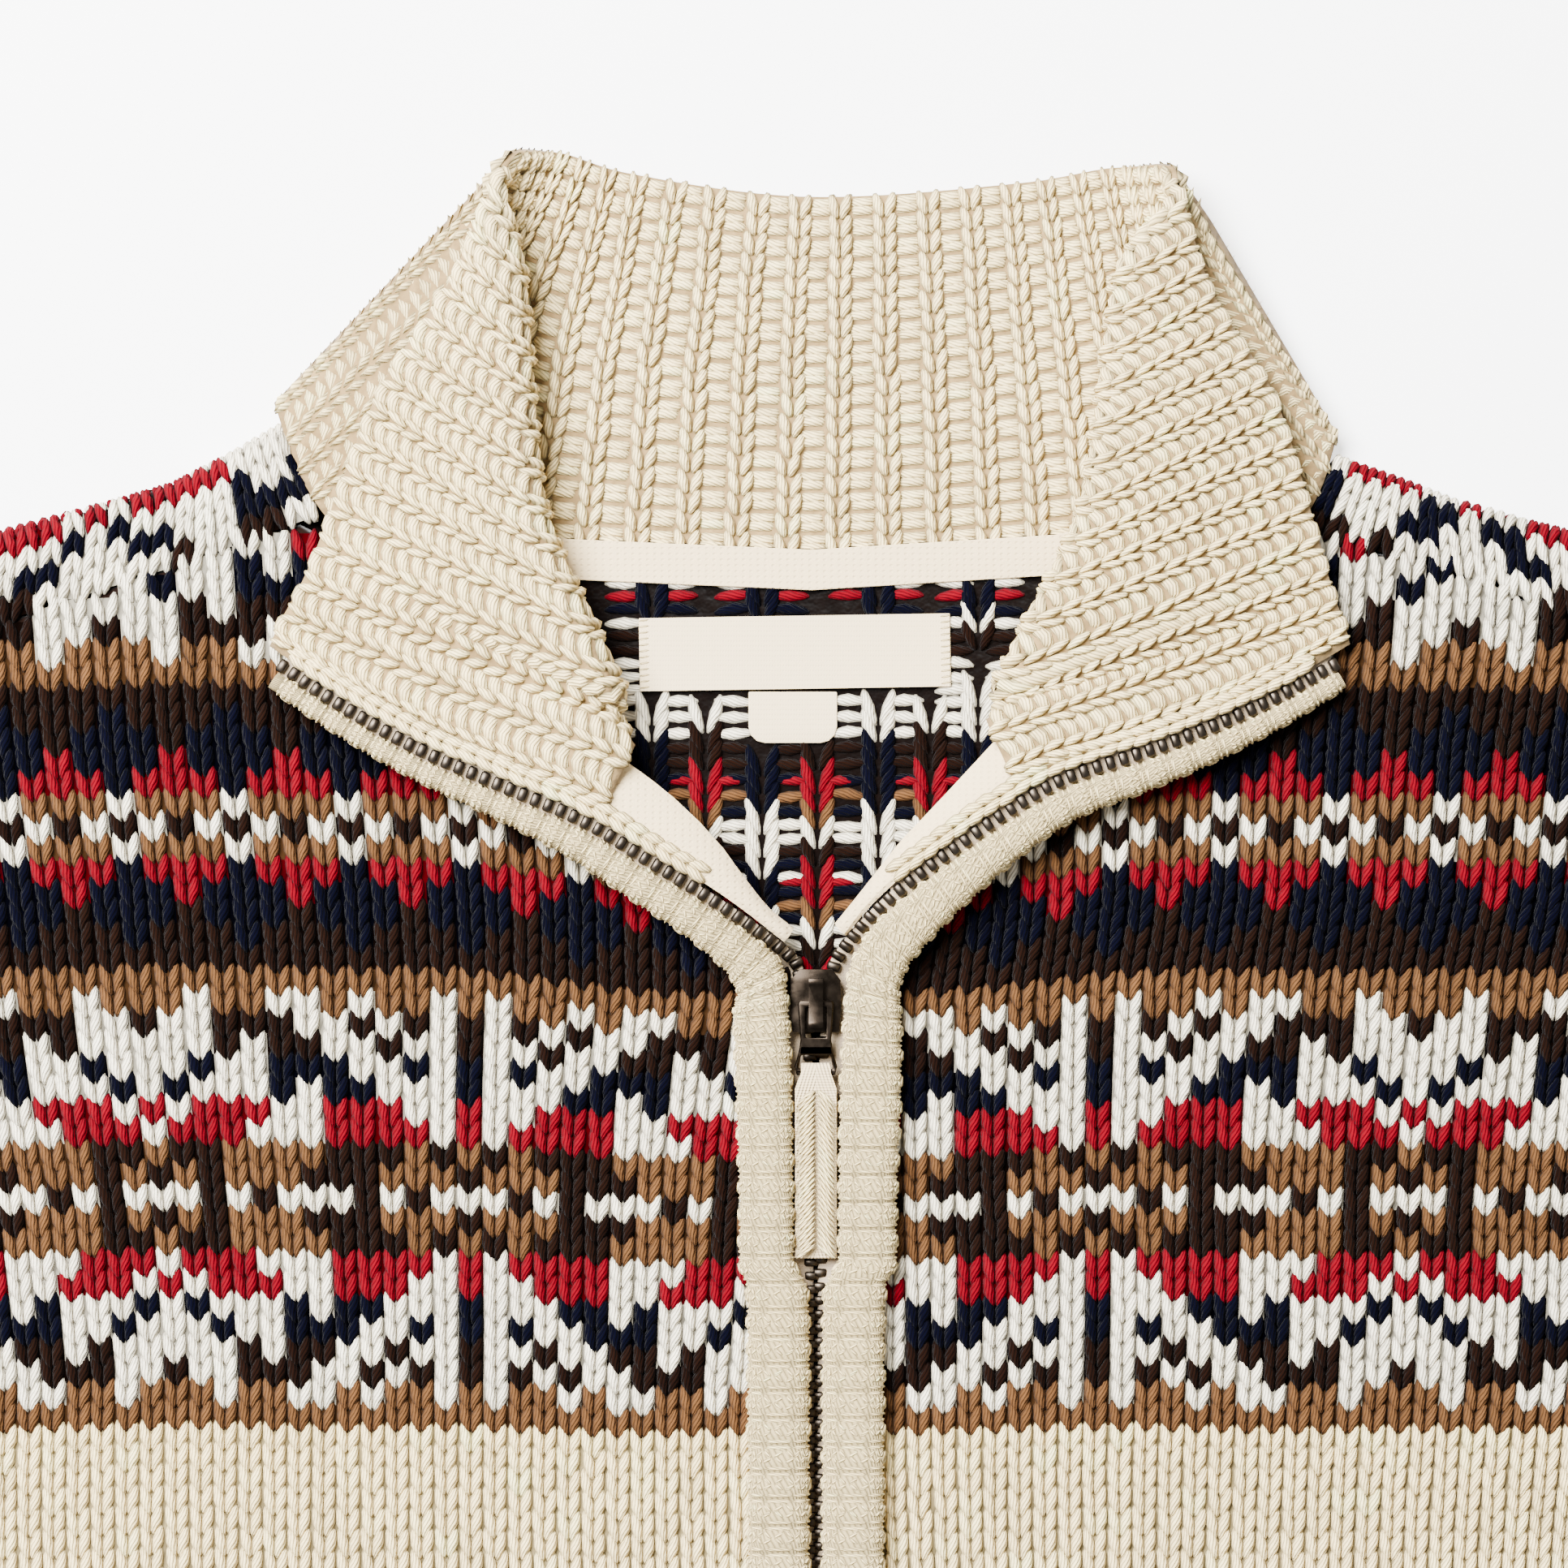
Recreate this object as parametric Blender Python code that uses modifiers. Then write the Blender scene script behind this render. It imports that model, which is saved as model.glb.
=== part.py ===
"""Zip-up sweater in chunky knit, laid flat on its back with the collar folded open.

Metres, +Z up. X runs across the garment with the zip at X = 0, and Y runs from the hem up to the
collar. The garment lies on the plane Z = 0, and its bounding box stands centred on the origin.
Working sizes below are in millimetres.
"""

import math

import bmesh
import bpy
import numpy as np

MM = 0.001
SEAM_GAP = 0.3

# Cloth thickness, and the heights of the two layers that lie on each other
WALL = 3.0
LAYER_GAP = 1.2
LOW_Z = WALL / 2
HIGH_Z = WALL + LAYER_GAP + WALL / 2
TOP_Z = HIGH_Z + WALL / 2
FOLD_R = (HIGH_Z - LOW_Z) / 2
FOLD_REACH = FOLD_R + WALL / 2
FOLD_STEPS = 4
SEAM_EASE = 1.2

# Body: the hem rib's lower and upper edge, and the level of the underarm
HEM_Y = -368.6
HEM_TOP_Y = HEM_Y + 65.0
UNDERARM_Y = 51.0
HEM_RIBS = 40
HEM_ROWS = 4
BACK_HEM_COLUMNS = 13
RIB_HEIGHT = 1.2
ZIP_EDGE_X = 3.1

# The side seam and armhole of the left half, from the hem up to the shoulder
SIDE_COLUMNS = ("v", "x", "y")
SIDE_EDGE = (
    (0.00, -266.0, HEM_TOP_Y),
    (0.31, -271.0, -120.0),
    (0.62, -270.0, UNDERARM_Y),
    (0.70, -247.0, 76.0),
    (0.78, -233.0, 120.0),
    (0.88, -229.0, 190.0),
    (1.00, -235.0, 254.0),
)
HEM_SIDE_X = -252.0
PANEL_ROWS = (0.0, 0.155, 0.31, 0.465, 0.62, 0.66, 0.70, 0.74, 0.78, 0.83, 0.86, 0.88, 0.90, 0.92, 0.94,
              0.97, 1.0)
PANEL_SPANS = 12

# The left front's edge at the zip, and its neckline and shoulder seam
FRONT_EDGE_COLUMNS = ("v", "left_x", "left_y", "right_x", "right_y")
FRONT_EDGE = (
    (0.00, -ZIP_EDGE_X, HEM_TOP_Y, ZIP_EDGE_X, HEM_TOP_Y),
    (0.62, -ZIP_EDGE_X, UNDERARM_Y, ZIP_EDGE_X, UNDERARM_Y),
    (0.86, -ZIP_EDGE_X, 202.0, ZIP_EDGE_X, 202.0),
    (0.88, -5.6, 213.0, 5.6, 213.0),
    (0.90, -8.0, 221.4, 7.8, 222.0),
    (0.92, -10.9, 226.2, 10.8, 228.6),
    (0.94, -16.4, 234.1, 15.0, 234.4),
    (0.97, -25.4, 245.9, 24.5, 250.6),
    (1.00, -38.8, 258.4, 34.4, 259.6),
)
NECK_SEAM_COLUMNS = ("u", "left_x", "left_y", "right_x", "right_y")
NECK_AND_SHOULDER = (
    (0.00, -38.8, 258.4, 34.4, 259.6),
    (0.06, -47.4, 264.0, 46.0, 267.0),
    (0.20, -68.9, 281.2, 67.4, 282.6),
    (0.32, -91.4, 301.0, 89.0, 298.2),
    (0.40, -108.6, 295.2, 109.7, 293.4),
    (0.56, -148.9, 282.0, 148.0, 279.6),
    (1.00, -234.6, 253.8, 234.6, 250.8),
)

# The folded shoulder line, where the back wraps over to the front, and the back neckline
SHOULDER_COLUMNS = ("u", "left_x", "left_y", "right_x", "right_y")
SHOULDER_FOLD = (
    (0.0, -234.6, 268.8, 234.6, 265.6),
    (0.6, -148.7, 299.0, 148.0, 296.4),
    (0.8, -118.0, 307.6, 117.0, 304.4),
    (1.0, -98.4, 317.9, 96.0, 312.6),
)
WRAP_SEAM = (
    (0.0, -234.6, 254.6, 234.6, 251.4),
    (0.6, -148.7, 283.4, 148.0, 281.0),
    (0.8, -118.0, 293.2, 117.0, 292.4),
    (1.0, -92.1, 302.6, 90.2, 299.8),
)
BACK_NECK_COLUMNS = ("u", "x", "y")
BACK_NECK = (
    (0.0, -94.5, 314.4),
    (0.2, -72.6, 304.4),
    (0.4, -46.6, 297.4),
    (0.5, -0.7, 295.4),
    (0.6, 45.1, 298.2),
    (0.8, 70.0, 304.4),
    (1.0, 92.2, 310.2),
)
SHOULDER_SPANS = 6
NECK_SPANS = 10

# Collar: 54 ribs from the left zip edge round the back to the right zip edge. A station gives the
# neck seam, the crest of the outward roll and the free top edge; where roll_r is 0 nothing is rolled.
# The bow is how far in Y the line to the free edge strays from straight at its middle.
COLLAR_RIBS = 54
COLLAR_WALL = 2.6
COLLAR_RIB_HEIGHT = 1.2
RIB_FADE = 1.5
COLLAR_COLUMNS = (
    "rib",
    "seam_x", "seam_y", "seam_z",
    "roll_x", "roll_y", "roll_z", "roll_r",
    "edge_x", "edge_y", "edge_z", "bow",
)
COLLAR_STATIONS = (
    (0, -38.8, 246.6, 15.2, -46.0, 250.4, 15.6, 0.0, -99.2, 277.2, 10.2, -2.6),
    (1, -36.2, 252.6, 15.4, -43.0, 256.2, 16.0, 0.0, -97.6, 281.2, 10.2, -1.6),
    (2, -33.2, 258.9, 13.6, -38.6, 262.0, 15.8, 0.0, -94.6, 286.4, 10.2, -0.6),
    (3, -38.4, 262.4, 8.6, -35.1, 267.6, 12.4, 3.0, -91.6, 292.6, 10.2, 0.0),
    (4, -46.6, 265.2, 6.6, -38.9, 275.9, 12.2, 3.2, -88.9, 299.6, 10.4, 0.0),
    (8, -68.1, 282.2, 6.4, -50.8, 305.2, 11.8, 3.2, -79.2, 323.4, 11.8, 0.0),
    (12, -90.3, 302.2, 6.4, -53.3, 333.6, 11.8, 3.2, -65.0, 345.3, 13.2, 0.0),
    (14, -95.4, 311.6, 6.0, -54.6, 347.6, 11.6, 3.0, -60.6, 355.6, 13.6, 0.0),
    (16, -98.6, 321.4, 3.8, -62.0, 359.2, 8.2, 0.0, -55.0, 366.8, 9.6, 0.0),
    (17, -91.0, 315.6, 2.0, -59.0, 355.0, 4.8, 0.0, -52.6, 367.8, 6.8, 0.0),
    (19, -74.0, 306.6, 1.3, -59.4, 343.0, 1.6, 0.0, -47.9, 368.0, 3.0, 0.0),
    (22, -46.6, 298.4, 1.3, -41.9, 332.3, 1.3, 0.0, -35.1, 364.4, 1.3, 0.0),
    (27, -0.7, 296.5, 1.3, 0.0, 328.6, 1.3, 0.0, 1.0, 359.9, 1.3, 0.0),
    (32, 45.1, 299.2, 1.3, 42.2, 331.5, 1.3, 0.0, 38.9, 362.6, 1.3, 0.0),
    (35, 70.3, 305.8, 1.3, 61.4, 339.0, 1.6, 0.0, 55.6, 365.2, 3.0, 0.0),
    (37, 87.4, 311.2, 2.0, 67.0, 351.0, 4.8, 0.0, 61.6, 365.2, 6.8, 0.0),
    (38, 94.9, 315.6, 3.8, 71.4, 354.4, 8.2, 0.0, 64.4, 364.4, 9.6, 0.0),
    (40, 92.6, 307.2, 6.0, 56.0, 346.2, 11.6, 3.0, 67.6, 353.0, 13.6, 0.0),
    (42, 88.1, 299.4, 6.4, 53.7, 333.0, 11.8, 3.2, 71.0, 342.6, 13.2, 0.0),
    (46, 66.6, 283.8, 6.4, 49.9, 305.6, 11.8, 3.2, 83.3, 322.0, 11.8, 0.0),
    (50, 45.1, 268.3, 6.6, 36.6, 276.8, 12.2, 3.2, 90.6, 299.0, 10.4, 0.0),
    (51, 36.4, 265.6, 8.6, 32.6, 268.9, 12.4, 3.0, 92.4, 292.8, 10.2, 0.0),
    (52, 31.2, 263.4, 13.6, 36.6, 265.6, 15.8, 0.0, 93.8, 287.2, 10.2, -0.6),
    (53, 33.6, 257.6, 15.4, 40.6, 261.0, 16.0, 0.0, 95.8, 282.0, 10.2, -1.6),
    (54, 36.0, 252.0, 15.2, 43.6, 255.4, 15.6, 0.0, 97.0, 277.6, 10.2, -2.6),
)
STAND_ROWS = 3
ROLL_ROWS = 4
FLAP_ROWS = 4
FLAP_CROWN = 1.2

# The zip: the teeth's line on each side, with the distance out to the knitted band beside it, the
# band's width as seen from above and the height of its crest
ZIP_WIDTH = 2.4
ZIP_THICK = 2.4
BAND_BASE_Z = TOP_Z + SEAM_GAP
ZIP_COLUMNS = ("x", "y", "z", "band_gap", "band_width", "band_top")
ZIP_LEFT = (
    (-1.4, HEM_Y + 1.0, HIGH_Z, 0.0, 10.6, 12.8),
    (-1.4, -150.0, HIGH_Z, 0.0, 10.6, 12.8),
    (-1.4, 60.0, HIGH_Z, 0.0, 10.6, 12.8),
    (-1.4, 150.0, HIGH_Z, 0.0, 10.8, 12.8),
    (-1.4, 157.5, HIGH_Z, 0.3, 10.7, 12.8),
    (-1.4, 162.8, HIGH_Z, 2.8, 9.6, 12.8),
    (-1.4, 176.0, HIGH_Z, 2.9, 9.4, 12.8),
    (-1.5, 195.0, HIGH_Z, 3.1, 9.6, 12.8),
    (-1.9, 208.0, HIGH_Z, 2.8, 10.0, 13.0),
    (-3.3, 218.8, 5.8, 2.2, 9.6, 13.4),
    (-6.8, 222.6, 8.8, 1.7, 8.8, 13.8),
    (-11.1, 225.9, 11.2, 1.6, 7.4, 14.4),
    (-18.5, 231.0, 13.2, 1.6, 6.4, 15.4),
    (-30.3, 238.3, 14.6, 1.6, 5.8, 16.2),
    (-41.6, 245.2, 15.2, 1.6, 5.2, 16.4),
    (-57.0, 251.9, 14.8, 1.6, 4.0, 15.8),
    (-71.8, 258.4, 13.9, 1.6, 3.4, 15.0),
    (-86.6, 266.7, 12.2, 1.6, 3.0, 13.4),
    (-97.0, 273.6, 10.6, 1.6, 2.8, 12.0),
)
ZIP_RIGHT = (
    (1.4, HEM_Y + 1.0, HIGH_Z, 0.0, 10.6, 12.8),
    (1.4, -150.0, HIGH_Z, 0.0, 10.6, 12.8),
    (1.4, 60.0, HIGH_Z, 0.0, 10.6, 12.8),
    (1.4, 150.0, HIGH_Z, 0.0, 10.8, 12.8),
    (1.4, 157.5, HIGH_Z, 0.3, 10.8, 12.8),
    (1.4, 162.8, HIGH_Z, 2.8, 10.3, 12.8),
    (1.4, 176.0, HIGH_Z, 2.9, 10.2, 12.8),
    (1.5, 195.0, HIGH_Z, 3.1, 10.6, 12.8),
    (1.9, 208.0, HIGH_Z, 2.8, 10.6, 13.0),
    (3.3, 218.8, 5.8, 2.2, 10.0, 13.4),
    (6.2, 223.6, 8.8, 1.7, 9.6, 13.8),
    (9.9, 228.0, 11.2, 1.6, 9.0, 14.4),
    (15.5, 233.2, 13.2, 1.6, 8.4, 15.4),
    (22.9, 239.0, 14.6, 1.6, 7.4, 16.2),
    (37.7, 249.2, 15.2, 1.6, 6.0, 16.4),
    (45.1, 253.2, 15.0, 1.6, 5.6, 16.2),
    (58.5, 257.7, 14.6, 1.6, 5.0, 15.8),
    (70.3, 262.0, 13.8, 1.6, 4.2, 15.0),
    (82.1, 267.2, 12.4, 1.6, 3.4, 13.6),
    (94.2, 273.8, 10.6, 1.6, 2.8, 12.0),
)
ZIP_STATION_STEP = 6.0
LONG_STATION_STEP = 60.0
FINE_FROM_Y = 140.0
BAND_SIDES = 10
BAND_SQUARENESS = 0.6

# The tape that faces the inside of the zip's edge in the open neck
FACING_WALL = 1.8
FACING_COLUMNS = ("zip_x", "zip_y", "zip_z", "roll_x", "roll_y", "roll_z", "turn_r")
FACING_LEFT = (
    (-6.8, 222.6, 9.6, -4.6, 225.2, 9.2, 0.2),
    (-11.1, 225.9, 11.4, -9.0, 228.8, 10.4, 0.6),
    (-18.5, 231.0, 13.2, -14.9, 236.1, 12.0, 1.4),
    (-30.3, 238.3, 14.6, -23.8, 248.1, 12.8, 1.8),
    (-38.3, 243.2, 15.1, -31.8, 255.4, 12.8, 1.8),
)
FACING_RIGHT = (
    (6.2, 223.6, 9.6, 4.2, 226.2, 9.2, 0.2),
    (9.9, 228.0, 11.4, 7.9, 230.8, 10.4, 0.6),
    (15.5, 233.2, 13.2, 12.7, 236.9, 12.0, 1.4),
    (22.9, 239.0, 14.6, 18.9, 244.9, 12.8, 1.8),
    (35.2, 247.6, 15.1, 29.4, 259.6, 12.8, 1.8),
)
FACING_CLEAR = 2.0
FACING_CROWN = 0.8
FACING_TURN = 0.8 * math.pi
FACING_TURN_FLAT = 0.8
FACING_TURN_DEEP = 1.1
FACING_SPANS = 4
FACING_STEPS = 3

# Sleeves, from the armhole to the cuff: the outline's upper and lower edge. The right one hangs lower.
ARMHOLE = ((-235.0, 268.8), (-235.0, 254.0), (-229.0, 190.0), (-233.0, 120.0), (-247.0, 76.0),
           (-271.4, UNDERARM_Y))
SLEEVE_TOP = (ARMHOLE[0], (-290.0, 243.0), (-350.0, 194.0), (-408.0, 124.0), (-568.5, -178.5))
SLEEVE_LOW = (ARMHOLE[-1], (-300.0, 12.0), (-385.0, -116.0), (-469.6, -229.8))
SLEEVE_RINGS = 14
ARMHOLE_BLEND = 0.3
RIGHT_DROP = 3.2
CUFF_LENGTH = 65.0
CUFF_TOP_WIDTH = 106.0
CUFF_END_WIDTH = 96.0
CUFF_RIBS = 17
CUFF_RINGS = 3

# Slider, puller and pull tab; the puller's cross bar turns on the hinge line
HINGE_Y = 212.2
PLATE_TOP_Z = 8.9
HINGE_Z = PLATE_TOP_Z + 1.05
PLATE_THICK = 1.6
SLIDER_OUTLINE = ((-4.2, 207.0), (4.2, 207.0), (4.6, 211.0), (4.5, 216.5), (3.0, 218.4), (-3.0, 218.4),
                  (-4.5, 216.5), (-4.6, 211.0))
LOWER_PLATE_Z = 3.3
LOWER_PLATE_THICK = 0.8
LOWER_PLATE_HALF = 4.1
LOWER_PLATE_Y = (207.2, 218.0)
FLANGE_X = 3.75
FLANGE_THICK = 0.5
FLANGE_Y = (207.4, 213.4)
POST_HALF = 0.6
POST_Y = (215.6, 217.9)
BRIDGE_WIDTH = 2.6
BRIDGE_LENGTH = 8.9
BRIDGE_FRONT = 4.6
BRIDGE_BAR = 1.2
BRIDGE_HEIGHT = 3.3
JOIN_DEPTH = 0.1
SHY = 0.01
PULLER_THICK = 1.2
PULLER_OUTLINE = ((-3.0, 0.6), (3.0, 0.6), (3.3, 0.0), (2.8, -6.6), (3.2, -9.0), (3.9, -11.4), (3.5, -13.0),
                  (-3.5, -13.0), (-3.9, -11.4), (-3.2, -9.0), (-2.8, -6.6), (-3.3, 0.0))
PULLER_EYE = ((-1.9, -0.6), (1.9, -0.6), (1.9, -6.2), (-1.9, -6.2))
PULLER_SLOT = ((-2.7, -9.3), (2.7, -9.3), (3.1, -11.9), (-3.1, -11.9))
TAB_LOOP_WIDTH = 5.4
TAB_WIDTH = 7.6
TAB_NECK = 3.0
TAB_BAR_Y = -12.45
TAB_LOOP_R = 1.3
TAB_LOOP_SPANS = 5
TAB_WALL = 0.9
TAB_SEAM = 0.1
TAB_END_Y = -46.3
TAB_DROP = 1.1

# Labels and tape at the back neck
LABEL_SIZE = (57.0, 13.4, 0.9)
LABEL_CENTRE = (-3.8, 276.3)
LABEL_TILT = 0.9
SIZE_LABEL_SIZE = (16.2, 9.4, 0.7)
SIZE_LABEL_CENTRE = (-4.2, 264.4)
SIZE_LABEL_CORNER = 3.0
CORNER_SPANS = 3
TRIM_Z = WALL + SEAM_GAP
NECK_TAPE_WIDTH = 7.4
NECK_TAPE_WALL = 1.0
NECK_TAPE_U = (0.16, 0.84)
NECK_TAPE_COLUMNS = 15

# Colours as (red, green, blue), with roughness and metallic value
CREAM = ((0.87, 0.80, 0.66), 0.9, 0.0)
YOKE = ((0.30, 0.16, 0.12), 0.9, 0.0)
TAPE_CREAM = ((0.84, 0.79, 0.69), 0.85, 0.0)
ZIP_BRONZE = ((0.065, 0.052, 0.044), 0.4, 1.0)
SLIDER_BRONZE = ((0.045, 0.028, 0.024), 0.3, 1.0)


def clear_scene():
    for item in list(bpy.data.objects):
        bpy.data.objects.remove(item, do_unlink=True)


def new_collection(name):
    collection = bpy.data.collections.new(name)
    bpy.context.scene.collection.children.link(collection)
    return collection


def new_material(name, finish):
    colour, roughness, metallic = finish
    material = bpy.data.materials.new(name)
    material.use_nodes = True
    shader = material.node_tree.nodes["Principled BSDF"]
    shader.inputs["Base Color"].default_value = (*colour, 1.0)
    shader.inputs["Roughness"].default_value = roughness
    shader.inputs["Metallic"].default_value = metallic
    return material


def named_rows(columns, rows):
    return [dict(zip(columns, row)) for row in rows]


def column_of(rows, key, names):
    """Interpolates the named columns at key, which is a value of the first of them."""
    at = [row[names[0]] for row in rows]
    return [float(np.interp(key, at, [row[name] for row in rows])) for name in names[1:]]


def link_mesh(name, build, finish, home):
    """Turns the bmesh into a named object of its own material, in metres."""
    bmesh.ops.recalc_face_normals(build, faces=build.faces)
    mesh = bpy.data.meshes.new(name)
    build.to_mesh(mesh)
    build.free()
    mesh.shade_smooth()
    mesh.set_sharp_from_angle(angle=math.radians(40))
    mesh.materials.append(new_material(name, finish))
    part = bpy.data.objects.new(name, mesh)
    home.objects.link(part)
    return part


def net_vertices(build, net):
    return [[build.verts.new(np.asarray(point) * MM) for point in column] for column in net]


def sheet_object(name, net, finish, home, thickness=WALL, skip=()):
    """A wall of the given thickness about a net of points, whose columns may close into a tube."""
    build = bmesh.new()
    vertices = net_vertices(build, net)
    for i, (near, far) in enumerate(zip(vertices, vertices[1:])):
        for j in range(len(near) - 1):
            if (i, j) not in skip:
                build.faces.new((near[j], far[j], far[j + 1], near[j + 1]))
    loose = [vertex for vertex in build.verts if not vertex.link_faces]
    bmesh.ops.delete(build, geom=loose, context="VERTS")
    part = link_mesh(name, build, finish, home)
    solidify = part.modifiers.new("Wall", "SOLIDIFY")
    solidify.thickness = thickness * MM
    solidify.offset = 0.0
    solidify.use_even_offset = True
    return part


def wall_object(name, upper, lower, finish, home, closed=False):
    """A closed wall between two nets of points of one size."""
    build = bmesh.new()
    top = net_vertices(build, upper)
    low = net_vertices(build, lower)
    count, rows = len(top), len(top[0])
    for i in range(count if closed else count - 1):
        k = (i + 1) % count
        for j in range(rows - 1):
            build.faces.new((top[i][j], top[k][j], top[k][j + 1], top[i][j + 1]))
            build.faces.new((low[i][j + 1], low[k][j + 1], low[k][j], low[i][j]))
        build.faces.new((top[k][0], top[i][0], low[i][0], low[k][0]))
        build.faces.new((top[i][-1], top[k][-1], low[k][-1], low[i][-1]))
    if not closed:
        for j in range(rows - 1):
            build.faces.new((top[0][j], top[0][j + 1], low[0][j + 1], low[0][j]))
            build.faces.new((top[-1][j + 1], top[-1][j], low[-1][j], low[-1][j + 1]))
    return link_mesh(name, build, finish, home)


def ring_object(name, rings, finish, home):
    """A solid skinned over closed rings, with both ends capped."""
    build = bmesh.new()
    vertices = net_vertices(build, rings)
    sides = len(vertices[0])
    for first, second in zip(vertices, vertices[1:]):
        for j in range(sides):
            k = (j + 1) % sides
            build.faces.new((first[j], first[k], second[k], second[j]))
    build.faces.new(vertices[0][::-1])
    build.faces.new(vertices[-1])
    return link_mesh(name, build, finish, home)


def net_normals(net, closed=False):
    """Unit normals of a net, from its neighbours along columns and rows."""
    if closed:
        across = np.roll(net, -1, axis=0) - np.roll(net, 1, axis=0)
    else:
        across = np.gradient(net, axis=0)
    normals = np.cross(across, np.gradient(net, axis=1))
    return normals / np.linalg.norm(normals, axis=2, keepdims=True)


def coons_patch(low, high, start, end):
    """Fills four boundaries: low and high run along u, start and end along v."""
    low, high, start, end = (np.asarray(side, float) for side in (low, high, start, end))
    u = np.linspace(0, 1, len(low))[:, None, None]
    v = np.linspace(0, 1, len(start))[None, :, None]
    ruled_v = (1 - v) * low[:, None] + v * high[:, None]
    ruled_u = (1 - u) * start[None] + u * end[None]
    corners = ((1 - u) * (1 - v) * low[0] + u * (1 - v) * low[-1]
               + (1 - u) * v * high[0] + u * v * high[-1])
    return ruled_v + ruled_u - corners


def with_height(plan, height):
    return np.concatenate([plan, np.full((*plan.shape[:-1], 1), float(height))], axis=-1)


def smooth_step(value):
    value = min(1.0, max(0.0, value))
    return value * value * (3 - 2 * value)


def monotone_curve(knots, values, at):
    """Shape-keeping cubic interpolation of rows of values, which never overshoots its knots."""
    knots, values, at = np.asarray(knots, float), np.asarray(values, float), np.asarray(at, float)
    gaps = np.diff(knots).reshape((-1,) + (1,) * (values.ndim - 1))
    slopes = np.diff(values, axis=0) / gaps
    before, after = slopes[:-1], slopes[1:]
    same_way = before * after > 0
    total = np.where(same_way, before + after, 1.0)
    inner = np.where(same_way, 2 * before * after / total, 0.0)
    tangents = np.concatenate([slopes[:1], inner, slopes[-1:]])
    span = np.clip(np.searchsorted(knots, at, side="right") - 1, 0, len(knots) - 2)
    shape = (-1,) + (1,) * (values.ndim - 1)
    width = gaps[span]
    t = ((at - knots[span]) / np.diff(knots)[span]).reshape(shape)
    return ((2 * t**3 - 3 * t**2 + 1) * values[span] + (t**3 - 2 * t**2 + t) * width * tangents[span]
            + (3 * t**2 - 2 * t**3) * values[span + 1] + (t**3 - t**2) * width * tangents[span + 1])


def side_line(at_rows, side):
    """The side seam and armhole at the given rows, for side -1 (left) or 1 (right)."""
    rows = named_rows(SIDE_COLUMNS, SIDE_EDGE)
    line = np.array([column_of(rows, v, SIDE_COLUMNS) for v in at_rows])
    line[:, 0] *= -side
    if side > 0:
        line[:, 1] -= np.where(np.array(at_rows) >= SIDE_EDGE[2][0], RIGHT_DROP, 0.0)
    return line


def with_side_fold(flat, side, turn):
    """Adds the columns that round the panel's side, turning by turn until the side seam."""
    extra = []
    outward = np.array([side, 0.0, 0.0])
    for step in range(1, FOLD_STEPS):
        angle = math.pi / 2 * step / (FOLD_STEPS - 1)
        column = []
        for j, v in enumerate(PANEL_ROWS):
            on_side = v <= SIDE_EDGE[2][0]
            out = FOLD_R * math.sin(angle) if on_side else FOLD_REACH * step / (FOLD_STEPS - 1)
            rise = turn * (FOLD_R - SEAM_EASE) * (1 - math.cos(angle)) if on_side else 0.0
            column.append(flat[-1][j] + outward * out + np.array([0.0, 0.0, rise]))
        extra.append(column)
    return np.concatenate([flat, np.array(extra)])


def front_panel(side, home):
    name = "front_left" if side < 0 else "front_right"
    pick = "left" if side < 0 else "right"
    edge_names = ("v", f"{pick}_x", f"{pick}_y")
    seam_names = ("u", f"{pick}_x", f"{pick}_y")
    edge_rows = named_rows(FRONT_EDGE_COLUMNS, FRONT_EDGE)
    seam_rows = named_rows(NECK_SEAM_COLUMNS, NECK_AND_SHOULDER)
    spans = np.linspace(0, 1, PANEL_SPANS + 1)
    zip_edge = np.array([column_of(edge_rows, v, edge_names) for v in PANEL_ROWS])
    top = np.array([column_of(seam_rows, u, seam_names) for u in spans])
    side_edge = side_line(PANEL_ROWS, side)
    side_edge[:, 0] -= side * FOLD_REACH
    side_edge[:, 0] -= side * np.where(np.array(PANEL_ROWS) > SIDE_EDGE[2][0], SEAM_GAP / 2, 0.0)
    top[-1] = side_edge[-1] = (side_edge[-1][0], top[-1][1])
    low = np.linspace(zip_edge[0], side_edge[0], PANEL_SPANS + 1)
    plan = coons_patch(low, top, zip_edge, side_edge)
    net = with_side_fold(with_height(plan, HIGH_Z), side, -1)
    return sheet_object(name, net, YOKE, home)


def shoulder_points(table, side, count):
    pick = "left" if side < 0 else "right"
    rows = named_rows(SHOULDER_COLUMNS, table)
    names = ("u", f"{pick}_x", f"{pick}_y")
    return np.array([column_of(rows, u, names) for u in np.linspace(0, 1, count)])


def shoulder_wrap(side):
    """The columns of the back that turn over the shoulder and come forward to the front's seam."""
    fold = shoulder_points(SHOULDER_FOLD, side, SHOULDER_SPANS + 1)
    seam = shoulder_points(WRAP_SEAM, side, SHOULDER_SPANS + 1)
    along = fold[-1] - fold[0]
    outward = np.array([-along[1], along[0]]) / np.linalg.norm(along)
    if outward[1] < 0:
        outward = -outward
    columns = []
    for place, end in zip(fold, seam):
        base = place - outward * FOLD_REACH
        column = []
        for step in range(FOLD_STEPS + 1):
            angle = math.pi * step / FOLD_STEPS
            spot = base + outward * FOLD_R * math.sin(angle)
            column.append((*spot, LOW_Z + FOLD_R * (1 - math.cos(angle))))
        column.append((*end, HIGH_Z))
        columns.append(column)
    return np.array(columns)


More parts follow.
